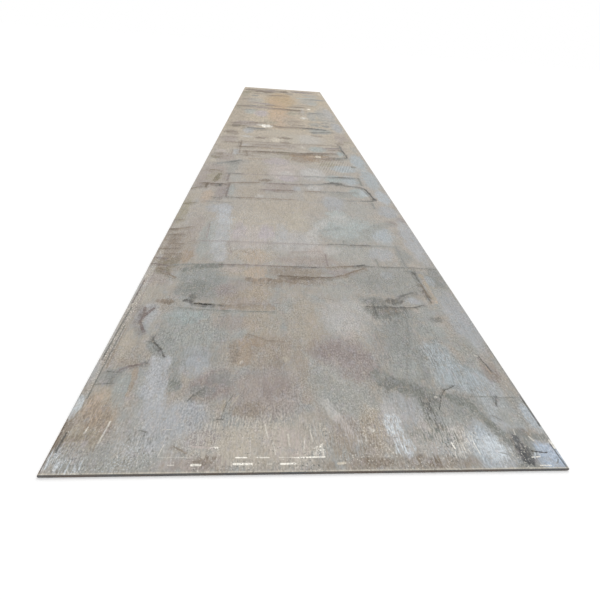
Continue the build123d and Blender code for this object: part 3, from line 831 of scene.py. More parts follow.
# Cross lines and the outlines of dried pools up to a little past the middle
MIDDLE_LINES = (
    Line(((-1.00, -2.73), (-0.92, -2.66)), 0.030, Tone.BROWN, 0.8),
    Line(((-1.00, -3.17), (-0.90, -3.13)), 0.030, Tone.MOSS, 0.6),
    Line(((-0.80, -3.07), (-0.58, -3.09)), 0.024, Tone.SLATE, 0.6),
    Line(((-0.76, -2.95), (-0.70, -2.97)), 0.030, Tone.DARK_GREY, 0.6),
    Line(((-0.88, -2.03), (-0.80, -2.04)), 0.040, Tone.MOSS, 0.6),
    Line(((-0.675, -2.14), (-0.675, -2.40)), 0.026, Tone.PLUM, 0.6),
    Line(((-0.68, -2.14), (-0.56, -2.13)), 0.030, Tone.DARK_GREY, 0.7),
    Line(((-0.53, -2.14), (-0.15, -2.11), (0.20, -2.11)), 0.022, Tone.MAUVE, 0.6),
    Line(((0.18, -2.11), (0.45, -2.10), (0.60, -2.085), (0.74, -2.08)), 0.030, Tone.SLATE, 0.8),
    Line(((0.52, -2.09), (0.66, -2.08)), 0.036, Tone.SOOT, 0.6),
    Line(((0.77, -2.09), (0.765, -2.36)), 0.026, Tone.GREEN_GREY, 0.85),
    Line(((-0.64, -2.48), (-0.50, -2.45), (-0.34, -2.42)), 0.034, Tone.BROWN, 0.7),
    Line(((-0.34, -2.34), (-0.24, -2.34)), 0.030, Tone.BROWN, 0.55),
    Line(((-0.28, -2.43), (-0.08, -2.435), (0.14, -2.42)), 0.030, Tone.PLUM, 0.65),
    Line(((0.14, -2.42), (0.30, -2.39), (0.46, -2.34)), 0.026, Tone.SLATE, 0.75),
    Line(((0.36, -2.345), (0.54, -2.33)), 0.034, Tone.SOOT, 0.6),
    Line(((0.50, -2.36), (0.60, -2.40), (0.72, -2.42), (0.775, -2.47)), 0.026, Tone.DARK_GREY, 0.95),
    Line(((0.775, -2.47), (0.80, -2.62), (0.82, -2.82)), 0.020, Tone.SOOT, 0.95),
    Patch((0.82, -2.82), (0.022, 0.05), Tone.BLACK, 0.6),
    Line(((0.82, -2.83), (0.78, -2.875), (0.69, -2.885)), 0.024, Tone.DARK_GREY, 0.8),
    Line(((0.69, -2.885), (0.50, -2.89)), 0.026, Tone.SLATE, 0.7),
    Line(((0.775, -2.92), (0.77, -3.08)), 0.024, Tone.SLATE, 0.8),
    Line(((-0.642, -2.48), (-0.64, -2.92)), 0.022, Tone.PLUM, 0.65),
    Line(((-0.64, -2.93), (-0.52, -2.935)), 0.028, Tone.DARK_GREY, 0.7),
    Line(((-0.52, -2.93), (-0.34, -2.925)), 0.024, Tone.BROWN, 0.7),
    Line(((-0.34, -2.92), (-0.15, -2.93), (0.02, -2.92)), 0.026, Tone.UMBER, 0.7),
    Line(((-0.30, -2.66), (-0.15, -2.655), (0.00, -2.65)), 0.040, Tone.DEEP_MAUVE, 0.75),
    Line(((-0.16, -2.655), (0.00, -2.65)), 0.034, Tone.BROWN, 0.6),
    Line(((0.14, -2.65), (0.28, -2.64)), 0.030, Tone.BROWN, 0.6),
    Line(((0.32, -2.64), (0.65, -2.62)), 0.032, Tone.SLATE, 0.7),
    Line(((-0.90, -2.52), (-0.80, -2.535), (-0.68, -2.535)), 0.034, Tone.DARK_BROWN, 0.75),
    Line(((-0.86, -2.54), (-0.86, -2.67)), 0.030, Tone.DARK_BROWN, 0.8),
    Line(((-0.73, -2.54), (-0.73, -2.60)), 0.030, Tone.SOOT, 0.8),
    Line(((-0.83, -1.74), (-0.70, -1.655), (-0.60, -1.56)), 0.070, Tone.SLATE, 0.9),
    Line(((-0.70, -1.655), (-0.63, -1.59)), 0.050, Tone.DARK_GREY, 0.7),
    Line(((-0.55, -1.06), (-0.53, -1.34)), 0.024, Tone.BROWN, 0.7),
    Line(((-0.56, -1.09), (-0.38, -1.07), (-0.12, -1.06)), 0.075, Tone.BROWN, 0.8),
    Line(((-0.12, -1.05), (0.10, -1.05), (0.20, -1.06)), 0.060, Tone.BROWN, 0.85),
    Line(((0.18, -1.07), (0.30, -1.01), (0.44, -1.01), (0.60, -0.97)), 0.060, Tone.DARK_BROWN, 0.8),
    Line(((-0.36, -1.045), (-0.20, -1.045)), 0.045, Tone.DARK_BROWN, 0.6),
    Line(((-0.10, -1.04), (0.00, -1.04)), 0.050, Tone.MOSS, 0.8),
    Line(((0.34, -1.26), (0.50, -1.30), (0.66, -1.22)), 0.045, Tone.BROWN, 0.7),
    Line(((0.62, -1.22), (0.74, -1.17)), 0.050, Tone.GREEN_GREY, 0.8),
    Line(((-0.64, -0.83), (-0.50, -0.82)), 0.060, Tone.DARK_BROWN, 0.8),
    Line(((-0.50, -0.80), (-0.28, -0.79)), 0.045, Tone.UMBER, 0.8),
    Line(((-0.86, -0.60), (-0.66, -0.60)), 0.050, Tone.BROWN, 0.8),
    Line(((-0.66, -0.50), (-0.30, -0.49), (0.00, -0.49)), 0.035, Tone.UMBER, 0.6),
    Line(((0.10, -0.51), (0.45, -0.47), (0.74, -0.48)), 0.040, Tone.UMBER, 0.65),
    Line(((-0.46, -0.66), (-0.20, -0.65), (0.02, -0.63)), 0.050, Tone.UMBER, 0.85),
    Line(((-0.40, -0.86), (-0.05, -0.82)), 0.045, Tone.RUST, 0.7),
    Line(((0.52, -0.68), (0.64, -0.65), (0.74, -0.62)), 0.055, Tone.DEEP_MAUVE, 0.85),
    Line(((0.58, -0.78), (0.74, -0.75)), 0.050, Tone.UMBER, 0.8),
    Line(((0.62, -0.97), (0.56, -0.99)), 0.050, Tone.BROWN, 0.6),
    Line(((-0.65, -0.50), (-0.648, -0.83)), 0.022, Tone.DARK_BROWN, 0.65),
    Line(((-0.645, -0.90), (-0.635, -1.20)), 0.020, Tone.UMBER, 0.8),
    Line(((-0.73, -1.00), (-0.73, -1.28)), 0.018, Tone.UMBER, 0.7),
    Line(((0.745, -0.48), (0.745, -0.75)), 0.028, Tone.DARK_GREY, 0.85),
    Line(((0.745, -0.75), (0.755, -0.90), (0.77, -1.02), (0.765, -1.18)), 0.022, Tone.SOOT, 0.75),
    Patch((0.757, -0.86), (0.03, 0.10), Tone.BLACK, 0.6),
    Line(((-0.66, -1.28), (-0.40, -1.29)), 0.040, Tone.UMBER, 0.7),
    Line(((-0.90, -1.33), (-0.76, -1.38)), 0.040, Tone.UMBER, 0.7),
    Line(((-0.50, -1.46), (-0.25, -1.42)), 0.040, Tone.RUST, 0.5),
    Line(((-0.95, -0.28), (-0.74, -0.25)), 0.050, Tone.UMBER, 0.7),
)

# Discoloration of the far half
FAR_PATCHES = (
    Wash((-0.84, 2.40), (0.26, 2.90), Tone.TAN, 0.85),
    Wash((0.80, 2.00), (0.22, 1.70), Tone.HAZE, 0.35),
    Wash((-0.12, 2.40), (0.26, 2.40), Tone.PEACH, 0.85),
    Wash((-0.08, 3.90), (0.42, 1.60), Tone.OCHRE, 0.95),
    Wash((0.02, 1.40), (0.32, 0.80), Tone.CLAY, 0.6),
    Wash((-0.20, 3.70), (0.16, 0.55), Tone.PEACH, 0.7),
    Wash((0.06, 4.30), (0.10, 0.70), Tone.OCHRE, 0.7),
    Wash((0.10, 1.30), (0.20, 0.50), Tone.TAN, 0.75),
    Wash((0.12, 2.15), (0.13, 0.30), Tone.OLIVE, 0.7),
    Wash((0.50, 1.95), (0.12, 0.65), Tone.ASH, 0.8),
    Wash((0.50, 1.10), (0.14, 0.25), Tone.STONE, 0.8),
    Wash((0.56, 3.90), (0.26, 0.65), Tone.ASH, 0.7),
    Wash((0.64, 3.60), (0.14, 0.35), Tone.SEA, 0.35),
    Wash((0.66, 5.00), (0.26, 0.30), Tone.ASH, 0.7),
    Wash((0.55, 0.55), (0.24, 0.32), Tone.PEWTER, 0.85),
    Wash((0.68, 2.20), (0.12, 0.70), Tone.ASH, 0.8),
    Wash((0.86, 2.30), (0.12, 0.90), Tone.LAVENDER, 0.55),
    Wash((0.88, 0.90), (0.12, 0.60), Tone.HAZE, 0.8),
    Wash((-0.66, 2.10), (0.14, 0.36), Tone.SEA, 0.6),
    Wash((-0.45, 1.95), (0.16, 0.45), Tone.HEATHER, 0.75),
    Wash((-0.64, 3.70), (0.24, 0.42), Tone.ASH, 0.6),
    Wash((-0.66, 0.86), (0.28, 0.32), Tone.DUSK, 0.9),
    Wash((-0.58, 0.40), (0.12, 0.22), Tone.LAVENDER, 0.6),
    Wash((-0.90, 4.70), (0.12, 0.80), Tone.OLIVE, 0.8),
    Wash((-0.90, 2.60), (0.10, 0.40), Tone.OLIVE, 0.7),
    Wash((-0.82, 0.64), (0.12, 0.18), Tone.UMBER, 0.85),
    Patch((-0.82, 0.60), (0.08, 0.14), Tone.PLUM, 0.8),
    Wash((-0.25, 1.12), (0.14, 0.22), Tone.OLIVE, 0.5),
    Wash((-0.45, 5.42), (0.60, 0.42), Tone.UMBER, 0.85),
    Wash((0.50, 5.58), (0.40, 0.26), Tone.MAUVE, 0.8),
    Wash((-0.06, 4.30), (0.26, 1.00), Tone.OCHRE, 0.7),
    Wash((-0.08, 2.90), (0.20, 0.60), Tone.PEACH, 0.6),
    Patch((-0.38, 5.18), (0.20, 0.26), Tone.DARK_BROWN, 0.85),
    Patch((-0.60, 5.28), (0.14, 0.24), Tone.DARK_BROWN, 0.8),
    Wash((0.01, 5.45), (0.16, 0.24), Tone.DARK_BROWN, 0.85),
    Patch((0.16, 5.12), (0.14, 0.26), Tone.UMBER, 0.8),
    Patch((-0.83, 5.52), (0.16, 0.24), Tone.BROWN, 0.95),
    Patch((0.42, 5.60), (0.30, 0.20), Tone.DEEP_MAUVE, 0.8),
    Patch((-0.30, 5.55), (0.14, 0.24), Tone.DEEP_MAUVE, 0.7),
    Wash((-0.52, 5.03), (0.06, 0.10), Tone.SAND, 0.8),
    Wash((0.93, 5.42), (0.06, 0.28), Tone.CREAM, 0.7),
    Patch((-0.67, 4.43), (0.12, 0.16), Tone.SLATE, 0.9),
    Patch((-0.66, 4.80), (0.10, 0.16), Tone.UMBER, 0.85),
    Patch((0.68, 1.00), (0.10, 0.14), Tone.SLATE, 0.95),
    Wash((0.34, 1.70), (0.09, 0.13), Tone.SCUFF, 0.95),
    Wash((0.36, 2.45), (0.035, 0.60), Tone.PALE_SCALE, 0.8),
    Wash((0.30, 2.20), (0.07, 0.40), Tone.DUSK, 0.6),
    Patch((0.76, 4.32), (0.16, 0.16), Tone.STONE, 0.85),
    Patch((-0.42, 0.80), (0.10, 0.11), Tone.SCUFF, 0.8),
    Patch((-0.32, 0.73), (0.12, 0.13), Tone.WHITE, 1.0, Edge.FIRM),
    Patch((0.50, 2.83), (0.06, 0.09), Tone.WHITE, 0.8),
)

# Cross lines of the far half
FAR_LINES = (
    Line(((-0.22, 0.78), (-0.08, 0.71), (0.10, 0.75), (0.30, 0.74)), 0.080, Tone.BROWN, 0.8),
    Line(((0.28, 0.73), (0.42, 0.75), (0.52, 0.70), (0.64, 0.68)), 0.060, Tone.SOOT, 0.8),
    Line(((0.42, 0.42), (0.58, 0.46), (0.74, 0.52)), 0.050, Tone.DARK_GREY, 0.7),
    Line(((-0.60, 0.52), (-0.46, 0.48), (-0.38, 0.50)), 0.090, Tone.DARK_GREY, 0.75),
    Line(((-0.88, 0.86), (-0.80, 0.90)), 0.080, Tone.BROWN, 0.8),
    Line(((-0.88, 0.62), (-0.70, 0.66)), 0.080, Tone.MOSS, 0.6),
    Line(((-0.62, 0.94), (-0.50, 0.98), (-0.36, 1.00)), 0.080, Tone.BROWN, 0.55),
    Line(((-0.36, 1.08), (-0.22, 1.06)), 0.090, Tone.OLIVE, 0.7),
    Line(((0.14, 0.94), (0.28, 0.96)), 0.090, Tone.UMBER, 0.8),
    Line(((0.08, 1.28), (0.26, 1.30)), 0.090, Tone.UMBER, 0.5),
    Line(((-0.30, 2.62), (-0.10, 2.66), (0.08, 2.60)), 0.100, Tone.BROWN, 0.75),
    Line(((0.06, 2.62), (0.20, 2.59), (0.32, 2.60)), 0.100, Tone.DARK_BROWN, 0.8),
    Line(((0.04, 2.84), (0.22, 2.86), (0.38, 2.88)), 0.070, Tone.CREAM, 0.8, halo=0.0),
    Line(((0.10, 2.98), (0.24, 3.01), (0.38, 3.03)), 0.090, Tone.DARK_BROWN, 0.7),
    Line(((-0.36, 2.98), (-0.24, 3.05)), 0.120, Tone.BROWN, 0.8),
    Line(((-0.92, 2.72), (-0.76, 2.80), (-0.58, 2.87)), 0.110, Tone.BROWN, 0.8),
    Line(((-0.68, 2.84), (-0.60, 2.86)), 0.110, Tone.SLATE, 0.7),
    Line(((-0.54, 2.66), (-0.40, 2.72)), 0.120, Tone.DEEP_MAUVE, 0.85),
    Line(((-0.62, 3.32), (-0.44, 3.24), (-0.34, 3.22)), 0.110, Tone.MAUVE, 0.9),
    Line(((-0.90, 3.80), (-0.82, 3.84)), 0.110, Tone.UMBER, 0.8),
    Line(((-0.74, 2.33), (-0.58, 2.34)), 0.090, Tone.SLATE, 0.8),
    Line(((0.52, 2.34), (0.68, 2.36)), 0.110, Tone.SLATE, 0.85),
    Line(((0.30, 3.30), (0.58, 3.28)), 0.110, Tone.UMBER, 0.6),
    Line(((-0.32, 4.62), (-0.06, 4.72)), 0.130, Tone.BROWN, 0.7),
    Line(((-0.62, 4.90), (-0.40, 4.84)), 0.110, Tone.UMBER, 0.7),
    Line(((0.34, 4.44), (0.54, 4.52), (0.76, 4.64)), 0.110, Tone.SEA, 0.9, halo=0.0),
    Line(((0.50, 4.32), (0.74, 4.38), (0.92, 4.34)), 0.110, Tone.IRON, 0.7),
    Line(((0.10, 2.16), (0.28, 2.22)), 0.110, Tone.OLIVE, 0.8),
    Line(((0.52, 1.62), (0.90, 1.56)), 0.090, Tone.STONE, 0.8),
    Line(((0.64, 1.28), (0.72, 1.30)), 0.090, Tone.SLATE, 0.6),
    Line(((-0.92, 4.98), (-0.82, 5.06)), 0.120, Tone.MOSS, 0.7),
)

TOP_MARKS: tuple[Mark, ...] = (
    *FAR_PATCHES,
    *MIDDLE_PATCHES,
    *THIRD_PATCHES,
    *SECOND_PATCHES,
    *NEAR_PATCHES,
    *FAR_LINES,
    *MIDDLE_LINES,
    *THIRD_LINES,
    *SECOND_LINES,
    *NEAR_LINES,
    *ROLL_LINES,
    *NEAR_SCUFFS,
)


@dataclass(frozen=True)
class Grain:
    """Noise with features of one size, and the number that it is turned into.

    Attributes:
        pitch: The size of its features across, along and up, in metres.
        detail: How many finer layers it has.
        rough: How strong those are.
        between: Where the change starts and ends. The noise itself keeps around 0.5.
        values: The number before and after that change.
        shift: How far its pattern is moved, or None where it isn't.
    """

    pitch: Triple
    detail: float = 2.0
    rough: float = 0.5
    between: Span = (0.0, 1.0)
    values: Span = (0.0, 1.0)
    shift: Triple | None = None


class Graph:
    """A node tree, with a short method for each kind of node that the finishes use."""

    def __init__(self, tree: bpy.types.NodeTree) -> None:
        """Starts with an empty tree.

        Args:
            tree: The tree.
        """
        self.tree = tree
        tree.nodes.clear()

    def feed(self, socket: Socket, value: object) -> None:
        """Links a socket to another one, or sets its value.

        Args:
            socket: The input.
            value: An output to link it to, or what to set it to.
        """
        if isinstance(value, bpy.types.NodeSocket):
            self.tree.links.new(value, socket)
        else:
            socket.default_value = value

    def node(self, kind: str, inputs: dict[int | str, object], **settings: object) -> bpy.types.Node:
        """Adds a node.

        Args:
            kind: The node's type, without its ShaderNode prefix.
            inputs: What goes into its sockets, by their number or name.
            **settings: The node's own options.

        Returns:
            The node.
        """
        made = self.tree.nodes.new("ShaderNode" + kind)
        for option, value in settings.items():
            setattr(made, option, value)
        for socket, value in inputs.items():
            self.feed(made.inputs[socket], value)
        return made

    def math(self, operation: str, *numbers: object) -> Socket:
        """Works a number out of one to three others."""
        return self.node("Math", dict(enumerate(numbers)), operation=operation).outputs[0]

    def sum(self, first: object, second: object) -> Socket:
        """Adds two numbers."""
        return self.math("ADD", first, second)

    def product(self, first: object, second: object) -> Socket:
        """Multiplies two numbers."""
        return self.math("MULTIPLY", first, second)

    def vectors(self, operation: str, first: object, second: object) -> bpy.types.Node:
        """Adds the node that works something out of two vectors."""
        return self.node("VectorMath", {0: first, 1: second}, operation=operation)

    def dot(self, first: object, second: object) -> Socket:
        """The dot product of two vectors."""
        return self.vectors("DOT_PRODUCT", first, second).outputs["Value"]

    def stretched(self, vector: Socket, by: Sequence[float]) -> Socket:
        """Multiplies a vector, part by part."""
        return self.vectors("MULTIPLY", vector, by).outputs[0]

    def shifted(self, vector: Socket, by: object) -> Socket:
        """Adds to a vector."""
        return self.vectors("ADD", vector, by).outputs[0]

    def scaled(self, colour: Socket, factor: Socket) -> Socket:
        """Multiplies a colour by a number."""
        return self.node("VectorMath", {0: colour, "Scale": factor}, operation="SCALE").outputs[0]

    def ramp(self, value: Socket, between: Sequence[object], values: Sequence[object]) -> Socket:
        """Turns a number smoothly into another, held at both ends by the change itself, without a clamp.

        Args:
            value: The number.
            between: Where the change starts and ends.
            values: The results before and after it.

        Returns:
            The result.
        """
        inputs = dict(enumerate((value, *between, *values)))
        return self.node("MapRange", inputs, interpolation_type="SMOOTHSTEP", clamp=False).outputs[0]

    def over(self, share: object, below: object, above: object) -> Socket:
        """Lays one colour over another.

        Args:
            share: How much of the upper one shows.
            below: The lower colour.
            above: The upper colour.

        Returns:
            The mixed colour.
        """
        return self.node("Mix", {0: share, 6: below, 7: above}, data_type="RGBA").outputs[2]


class Stamp(Graph):
    """The node group that lays one worn blot over the colour below it.

    The renderer keeps only a limited number of node results at a time, and an open face has hundreds
    of blots. So this uses few nodes, and none that needs an input converted.
    """

    NAME: ClassVar[str] = "stamp"
    SOCKETS: ClassVar[dict[str, str]] = {
        "Below": "NodeSocketColor",
        "Place": "NodeSocketVector",
        "Wear": "NodeSocketFloat",
        "At": "NodeSocketVector",
        "Heading": "NodeSocketVector",
        "Side": "NodeSocketVector",
        "Core": "NodeSocketFloat",
        "Tone": "NodeSocketColor",
        "Strength": "NodeSocketFloat",
        "Fade": "NodeSocketFloat",
    }

    def __init__(self) -> None:
        """Makes the group's sockets and nodes."""
        super().__init__(bpy.data.node_groups.new(self.NAME, "ShaderNodeTree"))
        for name, kind in self.SOCKETS.items():
            self.tree.interface.new_socket(name, in_out="INPUT", socket_type=kind)
        self.tree.interface.new_socket("Colour", in_out="OUTPUT", socket_type="NodeSocketColor")
        given = self.tree.nodes.new("NodeGroupInput").outputs
        offset = self.vectors("SUBTRACT", given["Place"], given["At"]).outputs[0]
        along = self.dot(offset, given["Heading"])
        across = self.dot(offset, given["Side"])
        past = self.math("SUBTRACT", self.math("ABSOLUTE", along), given["Core"])
        past = self.math("MAXIMUM", past, 0.0)
        square = self.math("MULTIPLY_ADD", across, across, self.product(past, past))
        worn = self.product(self.math("SUBTRACT", 1.0, square), given["Wear"])
        share = self.ramp(worn, (0.0, given["Fade"]), (0.0, given["Strength"]))
        result = self.tree.nodes.new("NodeGroupOutput").inputs["Colour"]
        self.feed(result, self.over(share, given["Below"], given["Tone"]))

    @classmethod
    def group(cls) -> bpy.types.NodeTree:
        """The group, made the first time that it is asked for."""
        return bpy.data.node_groups.get(cls.NAME) or cls().tree


class Shading(Graph):
    """One material and its node tree.

    Attributes:
        WANDER_DETAIL: How many finer layers the noise has that outlines stray by.
        WANDER_ROUGH: How strong those are.
    """

    WANDER_DETAIL: ClassVar[float] = 4.0
    WANDER_ROUGH: ClassVar[float] = 0.6

    def __init__(self, name: str) -> None:
        """Makes the material.

        Args:
            name: The material's name.
        """
        self.material = bpy.data.materials.new(name)
        self.material.use_nodes = True
        super().__init__(self.material.node_tree)
        self.place = self.node("TexCoord", {}).outputs["Object"]
        self.along = self.node("SeparateXYZ", {0: self.place}).outputs[1]

    def noise(self, grain: Grain) -> Socket:
        """Reads a grain's noise on the piece.

        Args:
            grain: The grain.

        Returns:
            The noise, around 0.5.
        """
        vector = self.place if grain.shift is None else self.shifted(self.place, grain.shift)
        place = self.stretched(vector, [1 / step for step in grain.pitch])
        inputs = {"Vector": place, "Scale": 1.0, "Detail": grain.detail, "Roughness": grain.rough}
        return self.node("TexNoise", inputs).outputs[0]

    def eased(self, noise_read: Socket, grain: Grain) -> Socket:
        """Turns a noise into the number that its grain gives."""
        return self.ramp(noise_read, grain.between, grain.values)

    def swing(self, grain: Grain) -> Socket:
        """Reads a grain's noise and turns it into its number."""
        return self.eased(self.noise(grain), grain)

    def wander(self, course: Course, spread: object) -> Socket:
        """Pushes the coordinates about by noise.

        The noise reads stretched coordinates of its own, which makes the result ready late. That
        keeps it from taking up room in the renderer's limited store of node results.

        Args:
            course: How far they are pushed.
            spread: A factor for that.

        Returns:
            The new coordinates.
        """
        wide, long, across, along = course.value
        place = self.stretched(self.place, (1 / wide, 1 / long, 1.0))
        layers = {"Detail": self.WANDER_DETAIL, "Roughness": self.WANDER_ROUGH}
        noise_read = self.node("TexNoise", {"Vector": place, "Scale": 1.0, **layers}).outputs[1]
        centred = self.shifted(noise_read, (-0.5, -0.5, -0.5))
        push = self.scaled(self.stretched(centred, (2 * across, 2 * along, 0.0)), spread)
        return self.shifted(push, self.place)

    def stamped(self, below: Socket, blot: Blot, place: Socket, wear: Socket) -> Socket:
        """Lays a blot over a colour.

        Args:
            below: The colour.
            blot: The blot.
            place: The coordinates that it is read at.
            wear: A number around 1 that breaks it up.

        Returns:
            The colour with the blot on it.
        """
        stamp = self.tree.nodes.new("ShaderNodeGroup")
        stamp.node_tree = Stamp.group()
        angle = math.radians(blot.turn)
        values = {
            "Below": below,
            "Place": place,
            "Wear": wear,
            "At": (*blot.at, 0.0),
            "Heading": (math.cos(angle) / blot.rim[0], math.sin(angle) / blot.rim[0], 0.0),
            "Side": (-math.sin(angle) / blot.rim[1], math.cos(angle) / blot.rim[1], 0.0),
            "Core": blot.core / blot.rim[0],
            "Tone": blot.tone.rgba,
            "Strength": blot.strength,
            "Fade": blot.edge.value,
        }
        for name, value in values.items():
            self.feed(stamp.inputs[name], value)
        return stamp.outputs[0]

    def finish(
        self, colour: Socket, rough: Socket, height: Socket, relief: float, shine: float, metal: float
    ) -> None:
        """Joins everything to one shader.

        Args:
            colour: The base colour.
            rough: The roughness.
            height: The relief, from 0 to 1.
            relief: What 1 stands for, in metres.
            shine: The specular level.
            metal: The share of bare metal.
        """
        bump = self.node("Bump", {"Strength": 1.0, "Distance": relief, "Height": height})
        inputs = {
            "Base Color": colour,
            "Roughness": rough,
            "Normal": bump.outputs[0],
            "Specular IOR Level": shine,
            "Metallic": metal,
        }
        shader = self.node("BsdfPrincipled", inputs)
        self.node("OutputMaterial", {"Surface": shader.outputs[0]})


@dataclass(frozen=True)
class Ribs:
    """Faint slanting ribs in an oval of the open face, a little short of the plate's middle.

    Attributes:
        at: The middle of the oval, across and along the plate.
        half: Its half sizes.
        fade: Where the ribs start and end coming in, as the square of the distance from the middle.
        pitch: How far it is from rib to rib, in metres.
        heading: The direction across the ribs.
        depth: How much they darken and lighten the scale.
    """

    at: Place = (0.55, -1.62)
    half: Span = (0.30, 0.42)
    fade: Span = (1.0, 0.2)
    pitch: float = 0.032
    heading: Place = (0.974, -0.227)
    depth: float = 0.13

    def wave(self, shading: Shading) -> Socket:
        """Draws the ribs.

        Args:
            shading: The material.

        Returns:
            A number around 0.
        """
        offset = shading.shifted(shading.place, (-self.at[0], -self.at[1], 0.0))
        offset = shading.stretched(offset, (1 / self.half[0], 1 / self.half[1], 0.0))
        depth = shading.ramp(shading.dot(offset, offset), self.fade, (0.0, self.depth))
        turns = 2 * math.pi / self.pitch
        heading = (self.heading[0] * turns, self.heading[1] * turns, 0.0)
        wave = shading.math("SINE", shading.dot(shading.place, heading))
        return shading.product(wave, depth)


@dataclass(frozen=True)
class TopFinish:
    """The weathered scale of one stretch of the open face, with its patches, water lines and scuffs.

    Attributes:
        start: Where the stretch starts along the plate.
        end: Where it ends.
        shine: The specular level.
        metal: The share of bare metal.
        relief: The height of the grit, in metres.
        spill: How far past the stretch it still takes marks in, as their outlines stray.
        lift: What is added to every tint.
        punch: How much further the tints are drawn apart.
        stray: Where along the plate the outlines start and end to stray further, and by what factors.
        cooling: Where the scale turns from warm to cool grey.
        ageing: Each tone that comes in along the plate, where it does, and how much of it.
        dust: The rust dust and blue scale, in patches a hand wide and less.
        mottle: The mottling.
        streaks: The streaks along the plate.
        crossed: The bands across it.
        growth: Where along the plate streaks and bands grow stronger, and by what factors.
        grit: The grit.
        strewn: A factor for the grit, from place to place.
        coarser: The coarser grit: its pitch, where along the plate it comes in, and its strength.
        ribs: The slanting ribs.
        thick: Where flecks lie thickest.
        front: Where along the near end they thin out, and the shares before and after.
        crumbs: The bright flecks.
        pits: The dark pits.
        clouds: What tears at even and ragged marks.
        crumbling: What leaves crumbs of a mark.
        running: What leaves runs of a mark.
        corner: The painted highlight where the light catches the rolled-over top corner of the far end,
            which the near end has too.
        gloss: The roughness.
    """

    start: float
    end: float

    shine: ClassVar[float] = 0.15
    metal: ClassVar[float] = 0.0
    relief: ClassVar[float] = 0.0005
    spill: ClassVar[float] = 0.15
    lift: ClassVar[float] = 0.017
    punch: ClassVar[float] = 0.14
    stray: ClassVar[tuple[Span, Span]] = ((-5.5, 1.0), (1.0, 3.0))
    cooling: ClassVar[Grain] = Grain((0.11, 0.20, 1.0), 5.0, 0.70, (0.38, 0.62))
    ageing: ClassVar[tuple[tuple[Tone, Span, float], ...]] = (
        (Tone.MIDDLE_SCALE, (-4.9, -3.6), 0.75),
        (Tone.FAR_SCALE, (-2.6, 1.6), 1.0),
    )
    dust: ClassVar[dict[Tone, Grain]] = {
        Tone.HEATHER: Grain((0.035, 0.060, 1.0), 6.0, 0.80, (0.50, 0.66), (0.0, 0.35), (7.0, 3.0, 0.0)),
        Tone.TAN: Grain((0.035, 0.060, 1.0), 6.0, 0.80, (0.50, 0.66), (0.0, 0.4), (-4.0, 9.0, 0.0)),
        Tone.HAZE: Grain((0.035, 0.060, 1.0), 6.0, 0.80, (0.50, 0.66), (0.0, 0.35), (5.0, -6.0, 0.0)),
    }
    mottle: ClassVar[Grain] = Grain((0.06, 0.15, 1.0), 6.0, 0.76, (0.3, 0.7), (-0.09, 0.09))
    streaks: ClassVar[Grain] = Grain((0.009, 0.12, 1.0), 2.0, 0.5, (0.3, 0.7), (-0.05, 0.05))
    crossed: ClassVar[Grain] = Grain((0.30, 0.045, 1.0), 3.0, 0.6, (0.3, 0.7), (-0.015, 0.015))
    growth: ClassVar[tuple[Span, Span]] = ((-5.0, 0.0), (1.0, 2.2))
    grit: ClassVar[Grain] = Grain((0.007, 0.015, 1.0), 2.0, 0.6, (0.32, 0.68), (-0.14, 0.14))
    strewn: ClassVar[Grain] = Grain((0.16, 0.20, 1.0), 4.0, 0.6, (0.40, 0.60), (0.65, 1.6))
    coarser: ClassVar[tuple[tuple[Triple, Span, float], ...]] = (
        ((0.013, 0.032, 1.0), (-5.0, -3.0), 0.07),
        ((0.024, 0.075, 1.0), (-2.8, -0.8), 0.08),
        ((0.035, 0.160, 1.0), (-0.8, 1.2), 0.12),
    )
    ribs: ClassVar[Ribs] = Ribs()
    thick: ClassVar[Grain] = Grain((0.10, 0.13, 1.0), 4.0, 0.65, (0.40, 0.62), shift=(2.0, 5.0, 0.0))
    front: ClassVar[tuple[Span, Span]] = ((-5.95, -5.55), (0.9, 0.4))
    crumbs: ClassVar[Grain] = Grain((0.008, 0.009, 1.0), 1.0, 0.5, (0.58, 0.72))
    pits: ClassVar[Grain] = Grain((0.010, 0.012, 1.0), 1.0, 0.5, (0.40, 0.28), shift=(1.0, 1.0, 0.0))
    clouds: ClassVar[Grain] = Grain((0.03, 0.11, 1.0), 6.0, 0.78)
    crumbling: ClassVar[Grain] = Grain((0.006, 0.008, 1.0), 1.5, 0.6)
    running: ClassVar[Grain] = Grain((0.007, 0.060, 1.0), 2.0, 0.6)
    # Painted highlight along each sheared end's rolled-over top corner
    corner: ClassVar[Blot] = Blot((0.0, 5.9975), 1.0, (0.005, 0.005), 0.0, Tone.CREAM, 0.5, Edge.FIRM)
    gloss: ClassVar[Grain] = Grain((0.12, 0.3, 1.0), 4.0, 0.6, (0.3, 0.7), (0.6, 0.8))

    def base(self, shading: Shading) -> Socket:
        """The scale's own colour, from warm to cool grey, and warmer towards the far end.

        Args:
            shading: The material.

        Returns:
            The colour.
        """
        turn = shading.swing(self.cooling)
        colour = shading.over(turn, Tone.NEAR_WARM.rgba, Tone.NEAR_COOL.rgba)
        for tone, between, share in self.ageing:
            colour = shading.over(shading.ramp(shading.along, between, (0.0, share)), colour, tone.rgba)
        return colour

    def haze(self, shading: Shading, colour: Socket) -> Socket:
        """Breaks every tint up with a little rust dust and blue scale.

        Args:
            shading: The material.
            colour: The colour so far.

        Returns:
            The colour with them.
        """
        for tone, cloud in self.dust.items():
            colour = shading.over(shading.swing(cloud), colour, tone.rgba)
        return colour

